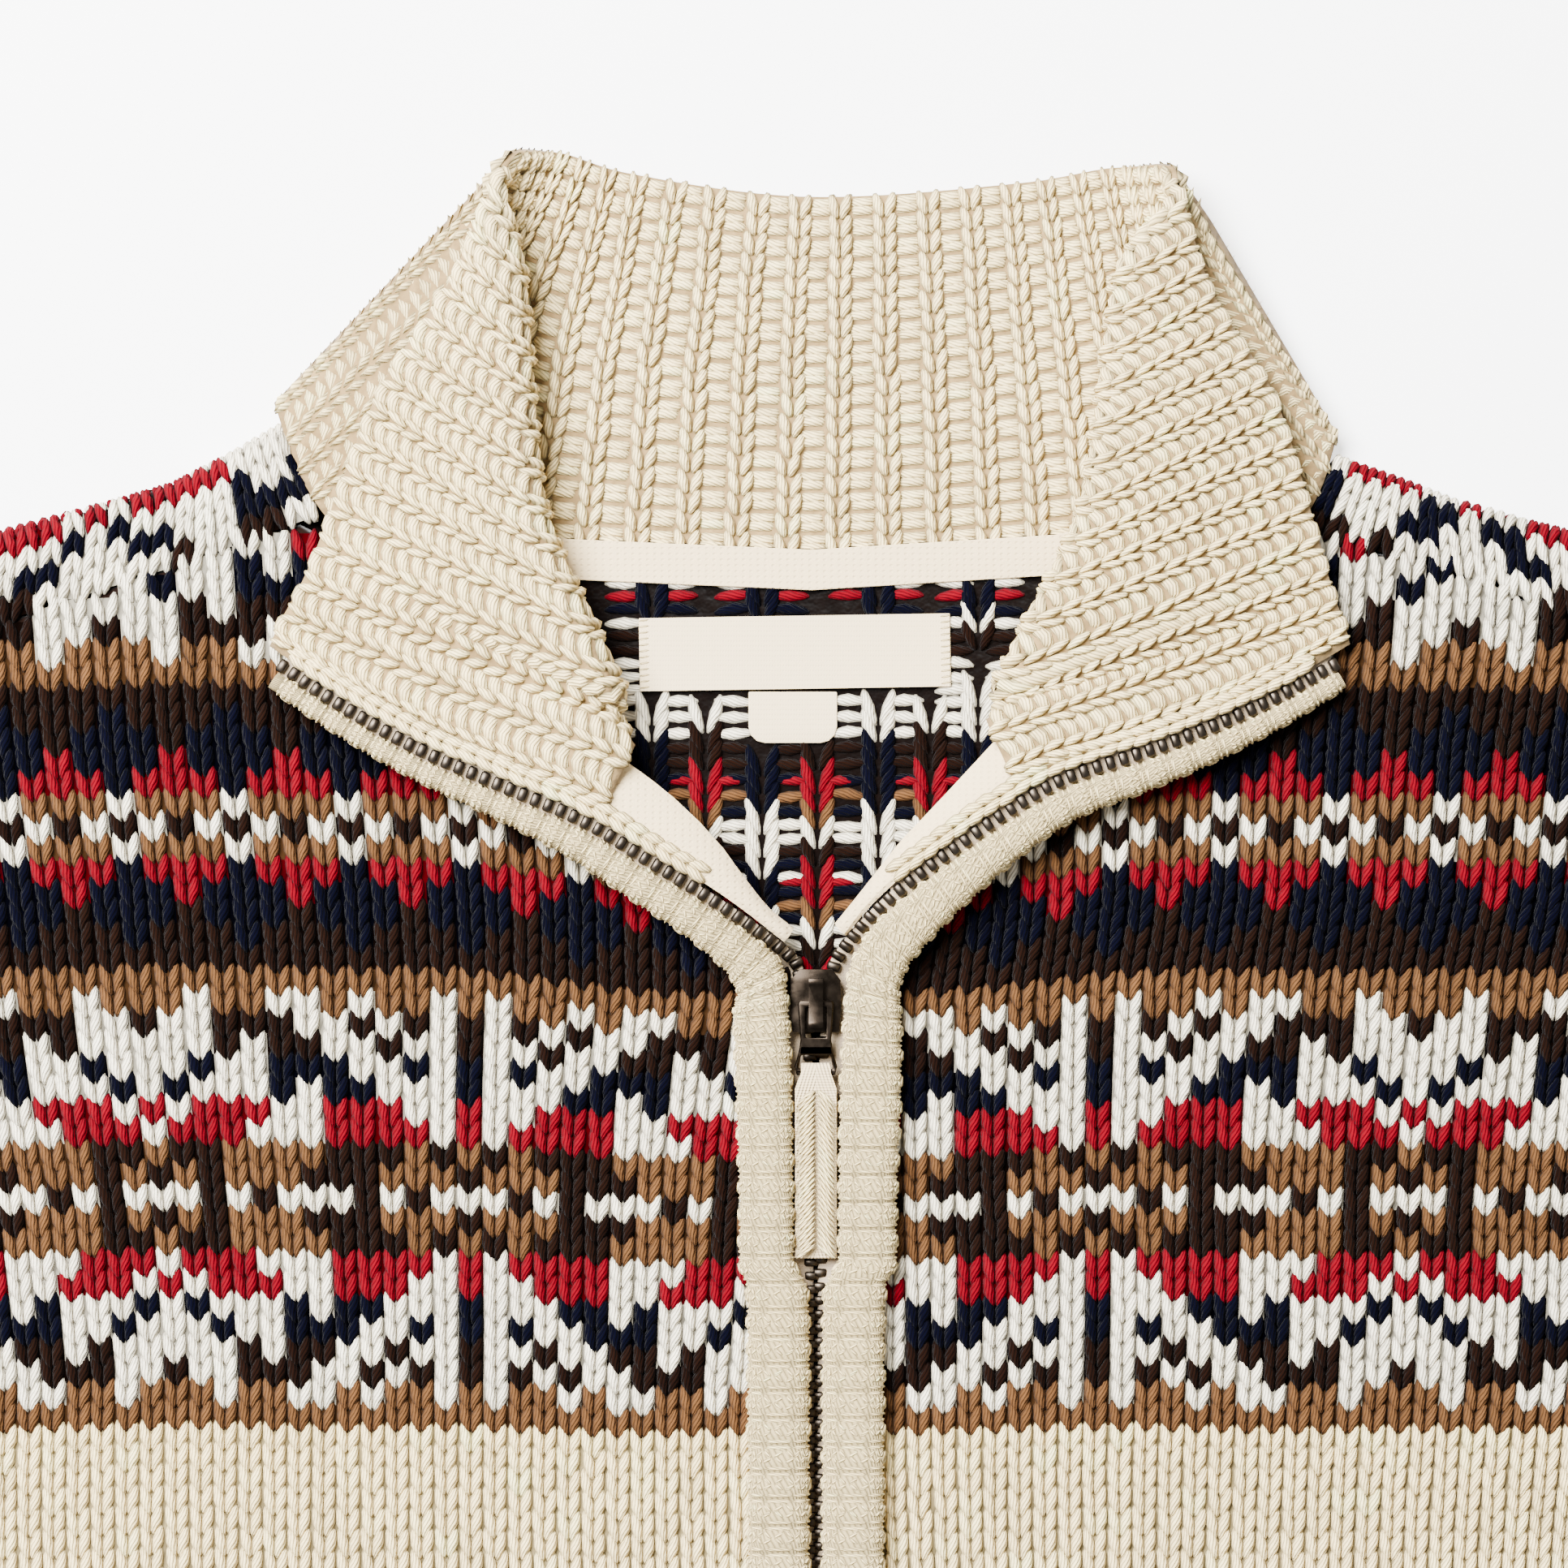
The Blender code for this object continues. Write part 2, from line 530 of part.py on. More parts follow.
def back_panel(home):
    left, right = shoulder_wrap(-1), shoulder_wrap(1)[::-1]
    neck_rows = named_rows(BACK_NECK_COLUMNS, BACK_NECK)
    neck = np.array([column_of(neck_rows, u, BACK_NECK_COLUMNS) for u in np.linspace(0, 1, NECK_SPANS + 1)])
    top = np.concatenate([left[:, 0, :2], neck, right[:, 0, :2]])
    sides = []
    for side in (-1, 1):
        line = side_line(PANEL_ROWS, side)
        line[:, 0] -= side * FOLD_REACH
        line[-1] = top[0] if side < 0 else top[-1]
        sides.append(line)
    sides[0][-1, 0] = top[0, 0] = sides[0][-2, 0]
    sides[1][-1, 0] = top[-1, 0] = sides[1][-2, 0]
    low = np.stack([np.interp(np.linspace(0, 1, len(top)), (0, 1), (sides[0][0][0], sides[1][0][0])),
                    np.full(len(top), HEM_TOP_Y)], axis=1)
    plan = with_height(coons_patch(low, top, sides[0], sides[1]), LOW_Z)
    flat = with_side_fold(plan, 1, 1)
    flat = with_side_fold(flat[::-1], -1, 1)[::-1]
    edge = FOLD_STEPS - 1
    wrap_rows = left.shape[1] - 1
    net = np.concatenate([flat, np.repeat(flat[:, -1:], wrap_rows, axis=1)], axis=1)
    shoulders = {}
    for i in range(SHOULDER_SPANS + 1):
        shoulders[edge + i] = left[i]
        shoulders[len(net) - 1 - edge - i] = shoulder_wrap(1)[i]
    for i, column in shoulders.items():
        net[i, len(PANEL_ROWS):] = column[1:]
    wrapped = [(i, i + 1) for i in range(len(net) - 1) if i in shoulders and i + 1 in shoulders]
    skip = {(i, j) for i in range(len(net) - 1) for j in range(len(PANEL_ROWS) - 1, net.shape[1] - 1)
            if (i, i + 1) not in wrapped}
    return sheet_object("back_panel", net, YOKE, home, skip=skip)


def rib_wave(count):
    """Offsets for count ribs: a valley at each whole rib and a ridge between."""
    return np.arange(2 * count + 1) % 2


def hem_side_x(y):
    share = (y - HEM_Y) / (HEM_TOP_Y - HEM_Y)
    return HEM_SIDE_X + (SIDE_EDGE[0][1] - HEM_SIDE_X) * math.sin(share * math.pi / 2)


def front_hem(side, home):
    name = "hem_rib_left" if side < 0 else "hem_rib_right"
    rows = np.linspace(HEM_Y, HEM_TOP_Y - SEAM_GAP, HEM_ROWS)
    ridges = rib_wave(HEM_RIBS)
    upper, lower = [], []
    for i, ridge in enumerate(ridges):
        share = i / (len(ridges) - 1)
        above, below = [], []
        for y in rows:
            reach = -hem_side_x(y) - ZIP_EDGE_X
            x = side * (ZIP_EDGE_X + share * reach)
            above.append((x, y, TOP_Z - RIB_HEIGHT * (1 - ridge) / 2))
            below.append((x, y, TOP_Z - WALL))
        upper.append(above)
        lower.append(below)
    return wall_object(name, upper, lower, CREAM, home)


def back_hem(home):
    rows = np.linspace(HEM_Y, HEM_TOP_Y - SEAM_GAP, HEM_ROWS)
    shares = np.linspace(1, -1, BACK_HEM_COLUMNS)
    net = [[(hem_side_x(y) * share, y, LOW_Z) for y in rows] for share in shares]
    return sheet_object("hem_rib_back", net, CREAM, home)


def flat_ring(line):
    """A flattened loop of cloth: along the line on the floor, round the fold, and back above it."""
    points = []
    across = (line[-1] - line[0]) / np.linalg.norm(line[-1] - line[0])
    lower = [np.array(spot) for spot in line]
    lower[0] = lower[0] + across * FOLD_REACH
    lower[-1] = lower[-1] - across * FOLD_REACH
    points += [(*spot, LOW_Z) for spot in lower]
    for step in range(1, FOLD_STEPS):
        angle = math.pi * step / FOLD_STEPS
        spot = lower[-1] + across * FOLD_R * math.sin(angle)
        points.append((*spot, LOW_Z + FOLD_R * (1 - math.cos(angle))))
    points += [(*spot, HIGH_Z) for spot in lower[::-1]]
    for step in range(1, FOLD_STEPS):
        angle = math.pi * step / FOLD_STEPS
        spot = lower[0] - across * FOLD_R * math.sin(angle)
        points.append((*spot, HIGH_Z - FOLD_R * (1 - math.cos(angle))))
    return points


def armhole_line():
    """The armhole's points and their shares of its length, with a point added inside long spans."""
    knots = np.array(ARMHOLE)
    points = [knots[0], knots[1]]
    for first, second in zip(knots[1:], knots[2:]):
        points += [(first + second) / 2, second]
    points = np.array(points)
    along = np.concatenate([[0.0], np.cumsum(np.linalg.norm(np.diff(points, axis=0), axis=1))])
    return points, along / along[-1]


def tube_wall(name, net, side, ridge, finish, home):
    """A closed wall about a net whose columns go round a flattened tube, flat below and above."""
    normals = net_normals(net, closed=True)
    half = len(net) // 2
    upward = np.sign(normals[half + half // 2, 1, 2])
    outer = net + normals * upward * WALL / 2
    inner = net - normals * upward * WALL / 2
    outer[:, :, 2] = np.clip(outer[:, :, 2], 0.0, TOP_Z)
    for column, drop in ridge:
        outer[column, :, 2] -= drop
    for layer in (outer, inner):
        layer[:, :, 0] *= -side
        layer[:, :, 1] -= RIGHT_DROP if side > 0 else 0.0
    return wall_object(name, outer, inner, finish, home, closed=True)


def sleeve(side, home):
    name = "sleeve_left" if side < 0 else "sleeve_right"
    shares = np.linspace(0, 1, SLEEVE_RINGS)
    tops = monotone_curve(np.linspace(0, 1, len(SLEEVE_TOP)), SLEEVE_TOP, shares)
    lows = monotone_curve(np.linspace(0, 1, len(SLEEVE_LOW)), SLEEVE_LOW, shares)
    armhole, across = armhole_line()
    bulge = armhole - (tops[0] + (lows[0] - tops[0]) * across[:, None])
    rings = []
    for share, top, low in zip(shares, tops, lows):
        keep = 1 - smooth_step(share / ARMHOLE_BLEND)
        line = top + (low - top) * across[:, None] + bulge * keep
        line[:, 0] -= SEAM_GAP * keep
        rings.append(flat_ring(line))
    return tube_wall(name, np.array(rings).transpose(1, 0, 2), side, (), YOKE, home)


def cuff(side, home):
    """A ribbed tube; its ridges stand on the side that faces up."""
    name = "cuff_left" if side < 0 else "cuff_right"
    top, low = np.array(SLEEVE_TOP[-1]), np.array(SLEEVE_LOW[-1])
    across = (low - top) / np.linalg.norm(low - top)
    along = np.array([across[1], -across[0]])
    middle = (top + low) / 2 + along * SEAM_GAP
    ridges = rib_wave(CUFF_RIBS)
    places = np.linspace(-1, 1, len(ridges))[:, None]
    rings = []
    for share in np.linspace(0, 1, CUFF_RINGS):
        half = (CUFF_TOP_WIDTH + (CUFF_END_WIDTH - CUFF_TOP_WIDTH) * share) / 2
        rings.append(flat_ring(middle + along * share * CUFF_LENGTH + across * half * places))
    first = len(ridges) + FOLD_STEPS - 1
    drops = [(first + i, RIB_HEIGHT * (1 - ridge) / 2) for i, ridge in enumerate(ridges)]
    return tube_wall(name, np.array(rings).transpose(1, 0, 2), side, drops, CREAM, home)


def collar_section(station):
    """One rib's middle line from the neck seam to the free edge, over the roll where there is one."""
    seam, roll, edge = (np.array([station[f"{part}_{axis}"] for axis in "xyz"])
                        for part in ("seam", "roll", "edge"))
    radius = station["roll_r"]
    if radius == 0:
        stand = [seam + (roll - seam) * share for share in np.linspace(0, 1, STAND_ROWS + 1)[:-1]]
        bow = np.array([0.0, station["bow"], 0.0])
        rest = [roll + (edge - roll) * share + bow * 4 * share * (1 - share)
                for share in np.linspace(0, 1, ROLL_ROWS + FLAP_ROWS + 1)]
        return np.array(stand + rest)
    ways = []
    for target in (seam, edge):
        flat = (target - roll) * (1, 1, 0)
        ways.append(flat / np.linalg.norm(flat))
    up = np.array([0.0, 0.0, 1.0])
    turn = []
    for angle in np.linspace(-math.pi / 2, math.pi / 2, ROLL_ROWS + 1):
        way = ways[0] if angle < 0 else ways[1]
        turn.append(roll + way * radius * (1 - math.cos(angle)) + up * radius * math.sin(angle))
    stand = [seam + (turn[0] - seam) * share for share in np.linspace(0, 1, STAND_ROWS + 1)[:-1]]
    flap = []
    for share in np.linspace(0, 1, FLAP_ROWS + 1)[1:]:
        flap.append(turn[-1] + (edge - turn[-1]) * share + up * FLAP_CROWN * 4 * share * (1 - share))
    return np.array(stand + turn + flap)


def collar(home):
    stations = named_rows(COLLAR_COLUMNS, COLLAR_STATIONS)
    sections = np.array([collar_section(station) for station in stations])
    ribs = np.arange(2 * COLLAR_RIBS + 1) / 2
    net = monotone_curve([station["rib"] for station in stations], sections, ribs)
    normals = net_normals(net)
    ridge = COLLAR_RIB_HEIGHT * rib_wave(COLLAR_RIBS)[:, None, None]
    facing_up = np.clip(normals[:, :, 2:] * RIB_FADE, 0, 1)
    facing_down = np.clip(-normals[:, :, 2:] * RIB_FADE, 0, 1)
    inner_face = net + normals * (COLLAR_WALL / 2 + ridge * facing_up)
    outer_face = net - normals * (COLLAR_WALL / 2 + ridge * facing_down)
    for face in (inner_face, outer_face):
        face[:, :, 2] = np.maximum(face[:, :, 2], 0.0)
    return wall_object("collar", inner_face, outer_face, CREAM, home)


def zip_line(side):
    """The teeth's stations on one side, close together in the open neck and far apart below it."""
    table = named_rows(ZIP_COLUMNS, ZIP_LEFT if side < 0 else ZIP_RIGHT)
    values = np.array([[row[name] for name in ZIP_COLUMNS] for row in table])
    steps = np.linalg.norm(np.diff(values[:, :3], axis=0), axis=1)
    along = np.concatenate([[0.0], np.cumsum(steps)])
    fine_from = float(np.interp(FINE_FROM_Y, values[:5, 1], along[:5]))
    coarse = np.arange(0, fine_from, LONG_STATION_STEP)
    fine = np.linspace(fine_from, along[-1], round((along[-1] - fine_from) / ZIP_STATION_STEP) + 1)
    at = np.concatenate([coarse, fine])
    line = monotone_curve(along, values, at)
    heading = np.gradient(line[:, :2], axis=0)
    heading /= np.linalg.norm(heading, axis=1, keepdims=True)
    outward = np.stack([-heading[:, 1], heading[:, 0]], axis=1) * -side
    return line, outward


def zip_strip(side, home):
    """The teeth and the edge of the tape that carries them, as one strip."""
    name = "zip_left" if side < 0 else "zip_right"
    line, outward = zip_line(side)
    rings = []
    for place, out in zip(line, outward):
        ring = []
        for across, up in ((-1, -1), (1, -1), (1, 1), (-1, 1)):
            spot = place[:2] + out * across * ZIP_WIDTH / 2
            ring.append((*spot, place[2] + up * ZIP_THICK / 2))
        rings.append(ring)
    return ring_object(name, rings, ZIP_BRONZE, home)


def squared(value):
    """Pushes a sine or cosine towards its ends, so that a ring's corners fill out."""
    return math.copysign(abs(value) ** BAND_SQUARENESS, value)


def front_band(side, home):
    """The rounded knitted band beside the teeth, flat below and turned on its edge round the neck."""
    name = "front_band_left" if side < 0 else "front_band_right"
    line, outward = zip_line(side)
    rings = []
    for row, out in zip(line, outward):
        place, (gap, width, top) = row[:2], row[3:]
        centre = place + out * (gap + width / 2)
        height = top - BAND_BASE_Z
        ring = []
        for step in range(BAND_SIDES):
            angle = 2 * math.pi * (step + 0.5) / BAND_SIDES
            across = squared(math.cos(angle)) * width / 2
            up = squared(math.sin(angle)) * height / 2
            ring.append((*(centre + out * across), BAND_BASE_Z + height / 2 + up))
        rings.append(ring)
    return ring_object(name, rings, CREAM, home)


def facing_tape(side, home):
    """The tape inside the open front edge: from the teeth, over the roll and a little way under."""
    name = "facing_tape_left" if side < 0 else "facing_tape_right"
    table = named_rows(FACING_COLUMNS, FACING_LEFT if side < 0 else FACING_RIGHT)
    sections = []
    for row in table:
        start = np.array([row["zip_x"], row["zip_y"], row["zip_z"]])
        roll = np.array([row["roll_x"], row["roll_y"], row["roll_z"]])
        way = (start - roll) * (1, 1, 0)
        way /= np.linalg.norm(way)
        start = start - way * FACING_CLEAR
        crown = np.array([0.0, 0.0, FACING_CROWN])
        over = [start + (roll - start) * share + crown * 4 * share * (1 - share)
                for share in np.linspace(0, 1, FACING_SPANS + 1)[:-1]]
        turn = []
        for angle in np.linspace(0, FACING_TURN, FACING_SPANS):
            inward = way * row["turn_r"] * (1 - math.cos(angle)) * FACING_TURN_FLAT
            down = np.array([0.0, 0.0, row["turn_r"] * math.sin(angle) * FACING_TURN_DEEP])
            turn.append(roll + inward - down)
        sections.append(over + turn)
    count = FACING_STEPS * (len(sections) - 1) + 1
    net = monotone_curve(np.arange(len(sections)), sections, np.linspace(0, len(sections) - 1, count))
    return sheet_object(name, net, TAPE_CREAM, home, thickness=FACING_WALL)


def plate_object(name, outlines, thickness, finish, home):
    """A flat plate from an outline and its holes, centred on its own plane."""
    curve = bpy.data.curves.new(name, "CURVE")
    curve.dimensions = "2D"
    curve.fill_mode = "BOTH"
    curve.extrude = thickness * MM / 2
    for outline in outlines:
        spline = curve.splines.new("POLY")
        spline.points.add(len(outline) - 1)
        for point, (x, y) in zip(spline.points, outline):
            point.co = (x * MM, y * MM, 0.0, 1.0)
        spline.use_cyclic_u = True
    holder = bpy.data.objects.new(name, curve)
    home.objects.link(holder)
    bpy.context.view_layer.update()
    mesh = bpy.data.meshes.new_from_object(holder.evaluated_get(bpy.context.evaluated_depsgraph_get()))
    bpy.data.objects.remove(holder)
    build = bmesh.new()
    build.from_mesh(mesh)
    bpy.data.meshes.remove(mesh)
    bmesh.ops.remove_doubles(build, verts=build.verts, dist=1e-6)
    return link_mesh(name, build, finish, home)


def block(build, low, high):
    """Adds a box between two corners to a bmesh."""
    made = bmesh.ops.create_cube(build, size=1.0)["verts"]
    low, high = np.asarray(low, float), np.asarray(high, float)
    for vertex in made:
        share = np.array(vertex.co) + 0.5
        vertex.co = (low + (high - low) * share) * MM


def join_cutter(part, name, boxes, cutters):
    """Unites boxes with the part, each through a Boolean of its own."""
    for index, (low, high) in enumerate(boxes):
        build = bmesh.new()
        block(build, low, high)
        tool = link_mesh(f"{name}_{index}", build, SLIDER_BRONZE, cutters)
        tool.hide_render = True
        tool.display_type = "WIRE"
        union = part.modifiers.new(f"Join {index}", "BOOLEAN")
        union.operation = "UNION"
        union.object = tool


def zip_slider(home, cutters):
    """Two plates round the teeth, joined by a post and two flanges, with the bridge on top."""
    upper_z = PLATE_TOP_Z - PLATE_THICK / 2
    part = plate_object("zip_slider", [SLIDER_OUTLINE], PLATE_THICK, SLIDER_BRONZE, home)
    for vertex in part.data.vertices:
        vertex.co.z += upper_z * MM
    lower_top = LOWER_PLATE_Z + LOWER_PLATE_THICK
    inside = PLATE_TOP_Z - PLATE_THICK + JOIN_DEPTH
    bridge_low, bridge_high = HINGE_Y + BRIDGE_FRONT - BRIDGE_LENGTH, HINGE_Y + BRIDGE_FRONT
    half = BRIDGE_WIDTH / 2
    foot = PLATE_TOP_Z - 2 * JOIN_DEPTH
    bridge_top = PLATE_TOP_Z + BRIDGE_HEIGHT
    boxes = [
        ((-POST_HALF, POST_Y[0], lower_top - 2 * JOIN_DEPTH), (POST_HALF, POST_Y[1], inside)),
        ((-LOWER_PLATE_HALF, LOWER_PLATE_Y[0], LOWER_PLATE_Z),
         (LOWER_PLATE_HALF, LOWER_PLATE_Y[1], lower_top)),
        ((-half, bridge_low, foot), (half, bridge_low + BRIDGE_BAR, bridge_top)),
        ((-half, bridge_high - BRIDGE_BAR, foot), (half, bridge_high, bridge_top)),
        ((-half + SHY, bridge_low + SHY, bridge_top - BRIDGE_BAR),
         (half - SHY, bridge_high - SHY, bridge_top - SHY)),
    ]
    for side in (-1, 1):
        inner, outer = side * FLANGE_X, side * (FLANGE_X + FLANGE_THICK)
        low = (min(inner, outer), FLANGE_Y[0], LOWER_PLATE_Z + JOIN_DEPTH)
        boxes.append((low, (max(inner, outer), FLANGE_Y[1], inside)))
    join_cutter(part, "slider_piece", boxes, cutters)
    return part


def zip_puller(home):
    """The metal puller, lying down from its cross bar on the hinge line."""
    part = plate_object("zip_puller", [PULLER_OUTLINE, PULLER_EYE, PULLER_SLOT], PULLER_THICK, SLIDER_BRONZE,
                        home)
    part.location = (0.0, HINGE_Y * MM, HINGE_Z * MM)
    return part


def pull_tab(home):
    """A strip of twill tape looped through the puller's slot, both ends together."""
    half_gap = TAB_LOOP_R / 2
    neck_y = TAB_BAR_Y - TAB_NECK
    middle_y = TAB_END_Y / 2
    line = [
        (TAB_WIDTH, TAB_END_Y, -half_gap - TAB_DROP),
        (TAB_WIDTH, middle_y, -half_gap - TAB_DROP / 2),
        (TAB_WIDTH, neck_y, -half_gap),
    ]
    for angle in np.linspace(-math.pi / 2, math.pi / 2, TAB_LOOP_SPANS + 1):
        turned = (TAB_BAR_Y + TAB_LOOP_R * math.cos(angle), TAB_LOOP_R * math.sin(angle))
        line.append((TAB_LOOP_WIDTH, *turned))
    line += [
        (TAB_WIDTH, neck_y, half_gap + TAB_SEAM),
        (TAB_WIDTH, middle_y, half_gap + TAB_SEAM - TAB_DROP / 2),
        (TAB_WIDTH, TAB_END_Y, half_gap + TAB_SEAM - TAB_DROP),
    ]
    net = [[(across * width, y, z) for width, y, z in line] for across in (-0.5, 0.0, 0.5)]
    part = sheet_object("pull_tab", net, TAPE_CREAM, home, thickness=TAB_WALL)
    part.location = (0.0, HINGE_Y * MM, HINGE_Z * MM)
    return part


def neck_tape(home):
    """The tape that covers the collar's seam along the back neck."""
    rows = named_rows(BACK_NECK_COLUMNS, BACK_NECK)
    columns = []
    height = TRIM_Z + NECK_TAPE_WALL / 2
    for u in np.linspace(*NECK_TAPE_U, NECK_TAPE_COLUMNS):
        x, y = column_of(rows, u, BACK_NECK_COLUMNS)
        columns.append([(x, y - SEAM_GAP - down * NECK_TAPE_WIDTH, height) for down in (1.0, 0.5, 0.0)])
    return sheet_object("neck_tape", columns, TAPE_CREAM, home, thickness=NECK_TAPE_WALL)


def neck_label(home):
    width, height, thick = LABEL_SIZE
    corners = ((-1, -1), (1, -1), (1, 1), (-1, 1))
    outline = [(across * width / 2, up * height / 2) for across, up in corners]
    part = plate_object("neck_label", [outline], thick, TAPE_CREAM, home)
    part.location = (LABEL_CENTRE[0] * MM, LABEL_CENTRE[1] * MM, (TRIM_Z + thick / 2) * MM)
    part.rotation_euler.z = math.radians(LABEL_TILT)
    return part


def size_label(home):
    """The small label below, its lower corners rounded."""
    width, height, thick = SIZE_LABEL_SIZE
    corner = SIZE_LABEL_CORNER
    outline = [(-width / 2, height / 2)]
    for centre, start in ((-width / 2 + corner, math.pi), (width / 2 - corner, 1.5 * math.pi)):
        for angle in start + np.linspace(0, math.pi / 2, CORNER_SPANS + 1):
            low_y = corner - height / 2 + corner * math.sin(angle)
            outline.append((centre + corner * math.cos(angle), low_y))
    outline.append((width / 2, height / 2))
    part = plate_object("size_label", [outline], thick, TAPE_CREAM, home)
    part.location = (SIZE_LABEL_CENTRE[0] * MM, SIZE_LABEL_CENTRE[1] * MM, (TRIM_Z + thick / 2) * MM)
    return part


def main():
    clear_scene()
    home = new_collection("zip_up_sweater")
    cutters = new_collection("cutters")
    cutters.hide_render = True
    back_panel(home)
    back_hem(home)
    collar(home)
    for side in (-1, 1):
        front_panel(side, home)
        front_hem(side, home)
        sleeve(side, home)
        cuff(side, home)
        zip_strip(side, home)
        front_band(side, home)
        facing_tape(side, home)
    neck_tape(home)
    neck_label(home)
    size_label(home)
    zip_slider(home, cutters)
    zip_puller(home)
    pull_tab(home)


main()
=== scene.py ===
"""Looks of the zip-up sweater: yarn stitches, ribs, bands, zip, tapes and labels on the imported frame.

The frame is in metres. Tables and working sizes here are in millimetres, in the frame's own place.
A surface is a function of (column, row) that gives points and outward normals, and yarn is laid on it.
"""

import math

import bmesh
import bpy
import numpy as np
from bpy.props import FloatProperty, FloatVectorProperty, PointerProperty
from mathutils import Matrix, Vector
from mathutils.bvhtree import BVHTree


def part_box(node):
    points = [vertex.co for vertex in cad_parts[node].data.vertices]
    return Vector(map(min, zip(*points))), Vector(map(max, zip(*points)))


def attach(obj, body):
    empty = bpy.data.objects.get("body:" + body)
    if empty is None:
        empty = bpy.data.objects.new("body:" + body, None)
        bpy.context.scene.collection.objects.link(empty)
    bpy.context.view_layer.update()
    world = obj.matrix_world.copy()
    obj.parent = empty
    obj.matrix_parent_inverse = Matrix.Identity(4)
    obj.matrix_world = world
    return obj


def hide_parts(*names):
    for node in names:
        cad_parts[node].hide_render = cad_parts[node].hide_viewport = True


bl_info = {
    "name": "Zip-up sweater",
    "version": (1, 0, 0),
    "blender": (4, 5, 0),
    "location": "View3D > Sidebar > Sweater",
    "description": "Dresses the packed zip-up sweater in knitted yarn, with its zip, tapes and labels",
    "category": "Object",
}

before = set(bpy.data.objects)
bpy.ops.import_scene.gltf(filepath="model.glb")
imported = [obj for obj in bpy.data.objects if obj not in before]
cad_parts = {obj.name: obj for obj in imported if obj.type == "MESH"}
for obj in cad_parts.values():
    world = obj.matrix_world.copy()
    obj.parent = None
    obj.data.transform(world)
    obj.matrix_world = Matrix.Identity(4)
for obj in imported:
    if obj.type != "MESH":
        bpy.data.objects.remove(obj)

MM = 0.001
GARMENT = "garment"
PULLER = "puller"

# Heights of the cloth: two layers that lie on each other, joined by round folds at the sides
CLOTH_TOP = 7.2
FOLD_OUTER = 3.6
GROUND_DROP = 1.15
HEM_Y = -368.6
HEM_TOP_Y = HEM_Y + 65.0
UNDERARM_Y = 51.0
RIGHT_DROP = 3.2
INNER_BACK_Z = 3.02
SKIN_Z = 0.04
SKIN_SHADE = 0.9
# Painted shade: the back's ground above the yoke's end is the brown yarn darkened to this share
BACK_GROUND_SHADE = 0.3
# Cloth under the stitches: points above this height that don't face down are drawn in
SHELL_FROM_Z = 3.3
SHELL_FACING = -0.3
SHELL_LEVEL = 0.1
SHELL_DROP = GROUND_DROP + 0.35
SHELL_UNDER_DROP = 0.12
SHELL_SHARP = 50
TRIM_SHARP = 40
BEVEL_SHARP = 35
WELD = 1e-6
FLOOR_CLEAR = 0.03

# Yarns by letter, in the order of the colour settings
YARNS = {"C": "cream", "W": "white", "B": "brown", "N": "navy", "T": "tan", "R": "red"}

# Rows of the star band from its top edge to its middle. Each letter is one stitch, from the star's
# centre out to the centre of the bars between two stars. The band mirrors there, both ways.
STAR_ROWS = (
    "TTTTTTTTTTTTT",
    "TTWTTWWTWTTWT",
    "BWWBBBWWBWBWB",
    "WWWBWBBWWBWWB",
    "WWNWWNNNWWNWN",
    "WNWWWNWNNWWWN",
    "RWRRRWWRRRWWR",
    "WRRRWWWRRRRWR",
    "TBBTTTTBBBTBT",
    "BTBTTTBBBTTTB",
    "WWBWBWWWBWBWW",
)
STAR_HEIGHT = 21
STAR_HALF = 12
# Rows of the flower band: the flower's centre, the stitch beside it, the stitch between two flowers
FLOWER_ROWS = ("BBB", "BBN", "BNN", "RNN", "RRN", "TTW", "BWB", "TTW", "RRN", "RNN", "BNN", "BBN", "BBB")
FLOWER_REPEAT = 4
FLOWER_PHASE = 2
UPPER_STAR_ROW = -(STAR_HEIGHT + len(FLOWER_ROWS))

# Where the stitches of the fronts run: the bars' column and the width of a stitch, by height
STAR_TOP_Y = 218.3
ROW_PITCH = 3.98
PLAIN_ROW_PITCH = 3.85
BAR_COLUMN = 12
GUIDE_COLUMNS = ("y", "left_x", "left_pitch", "right_x", "right_pitch")
COLUMN_GUIDE = (
    (-380.0, -62.9, 4.48, 51.4, 4.50),
    (110.0, -62.9, 4.48, 51.4, 4.50),
    (143.6, -62.9, 4.48, 51.4, 4.65),
    (174.6, -62.9, 4.65, 51.4, 4.72),
    (216.4, -62.9, 5.06, 51.9, 4.90),
    (232.4, -63.6, 5.13, 54.3, 4.96),
    (261.2, -65.6, 5.25, 55.0, 5.12),
    (276.8, -66.1, 5.30, 55.5, 5.25),
    (300.0, -66.9, 5.40, 56.0, 5.35),
)
DIP = ((134.0, 0.6), (173.0, 1.5), (216.0, 4.1), (246.0, 6.0))
DIP_FROM_X = 75.0
DIP_TO_X = 15.0
FRONT_COLUMNS = {-1: (-36, 26), 1: (1, 61)}
FRONT_ROWS = (-23, 135)

# The side seams and armholes of both halves, and the two lines that bound the shoulders' fold
SIDE_EDGE = ((HEM_TOP_Y, 266.0), (-120.0, 271.0), (UNDERARM_Y, 270.0))
WRAP_SEAM = {-1: ((-234.6, 254.6), (-148.7, 283.4), (-118.0, 293.2), (-92.1, 302.6)),
             1: ((234.6, 251.4), (148.0, 281.0), (117.0, 292.4), (90.2, 299.8))}
SHOULDER_FOLD = {-1: ((-234.6, 268.8), (-148.7, 299.0), (-118.0, 307.6), (-98.4, 317.9)),
                 1: ((234.6, 265.6), (148.0, 296.4), (117.0, 304.4), (96.0, 312.6))}
SHOULDER_FIRST_ROW = 4
SHOULDER_PITCH = 4.4
SHOULDER_ROW_PITCH = 4.0
SEAM_LAP = 0.4

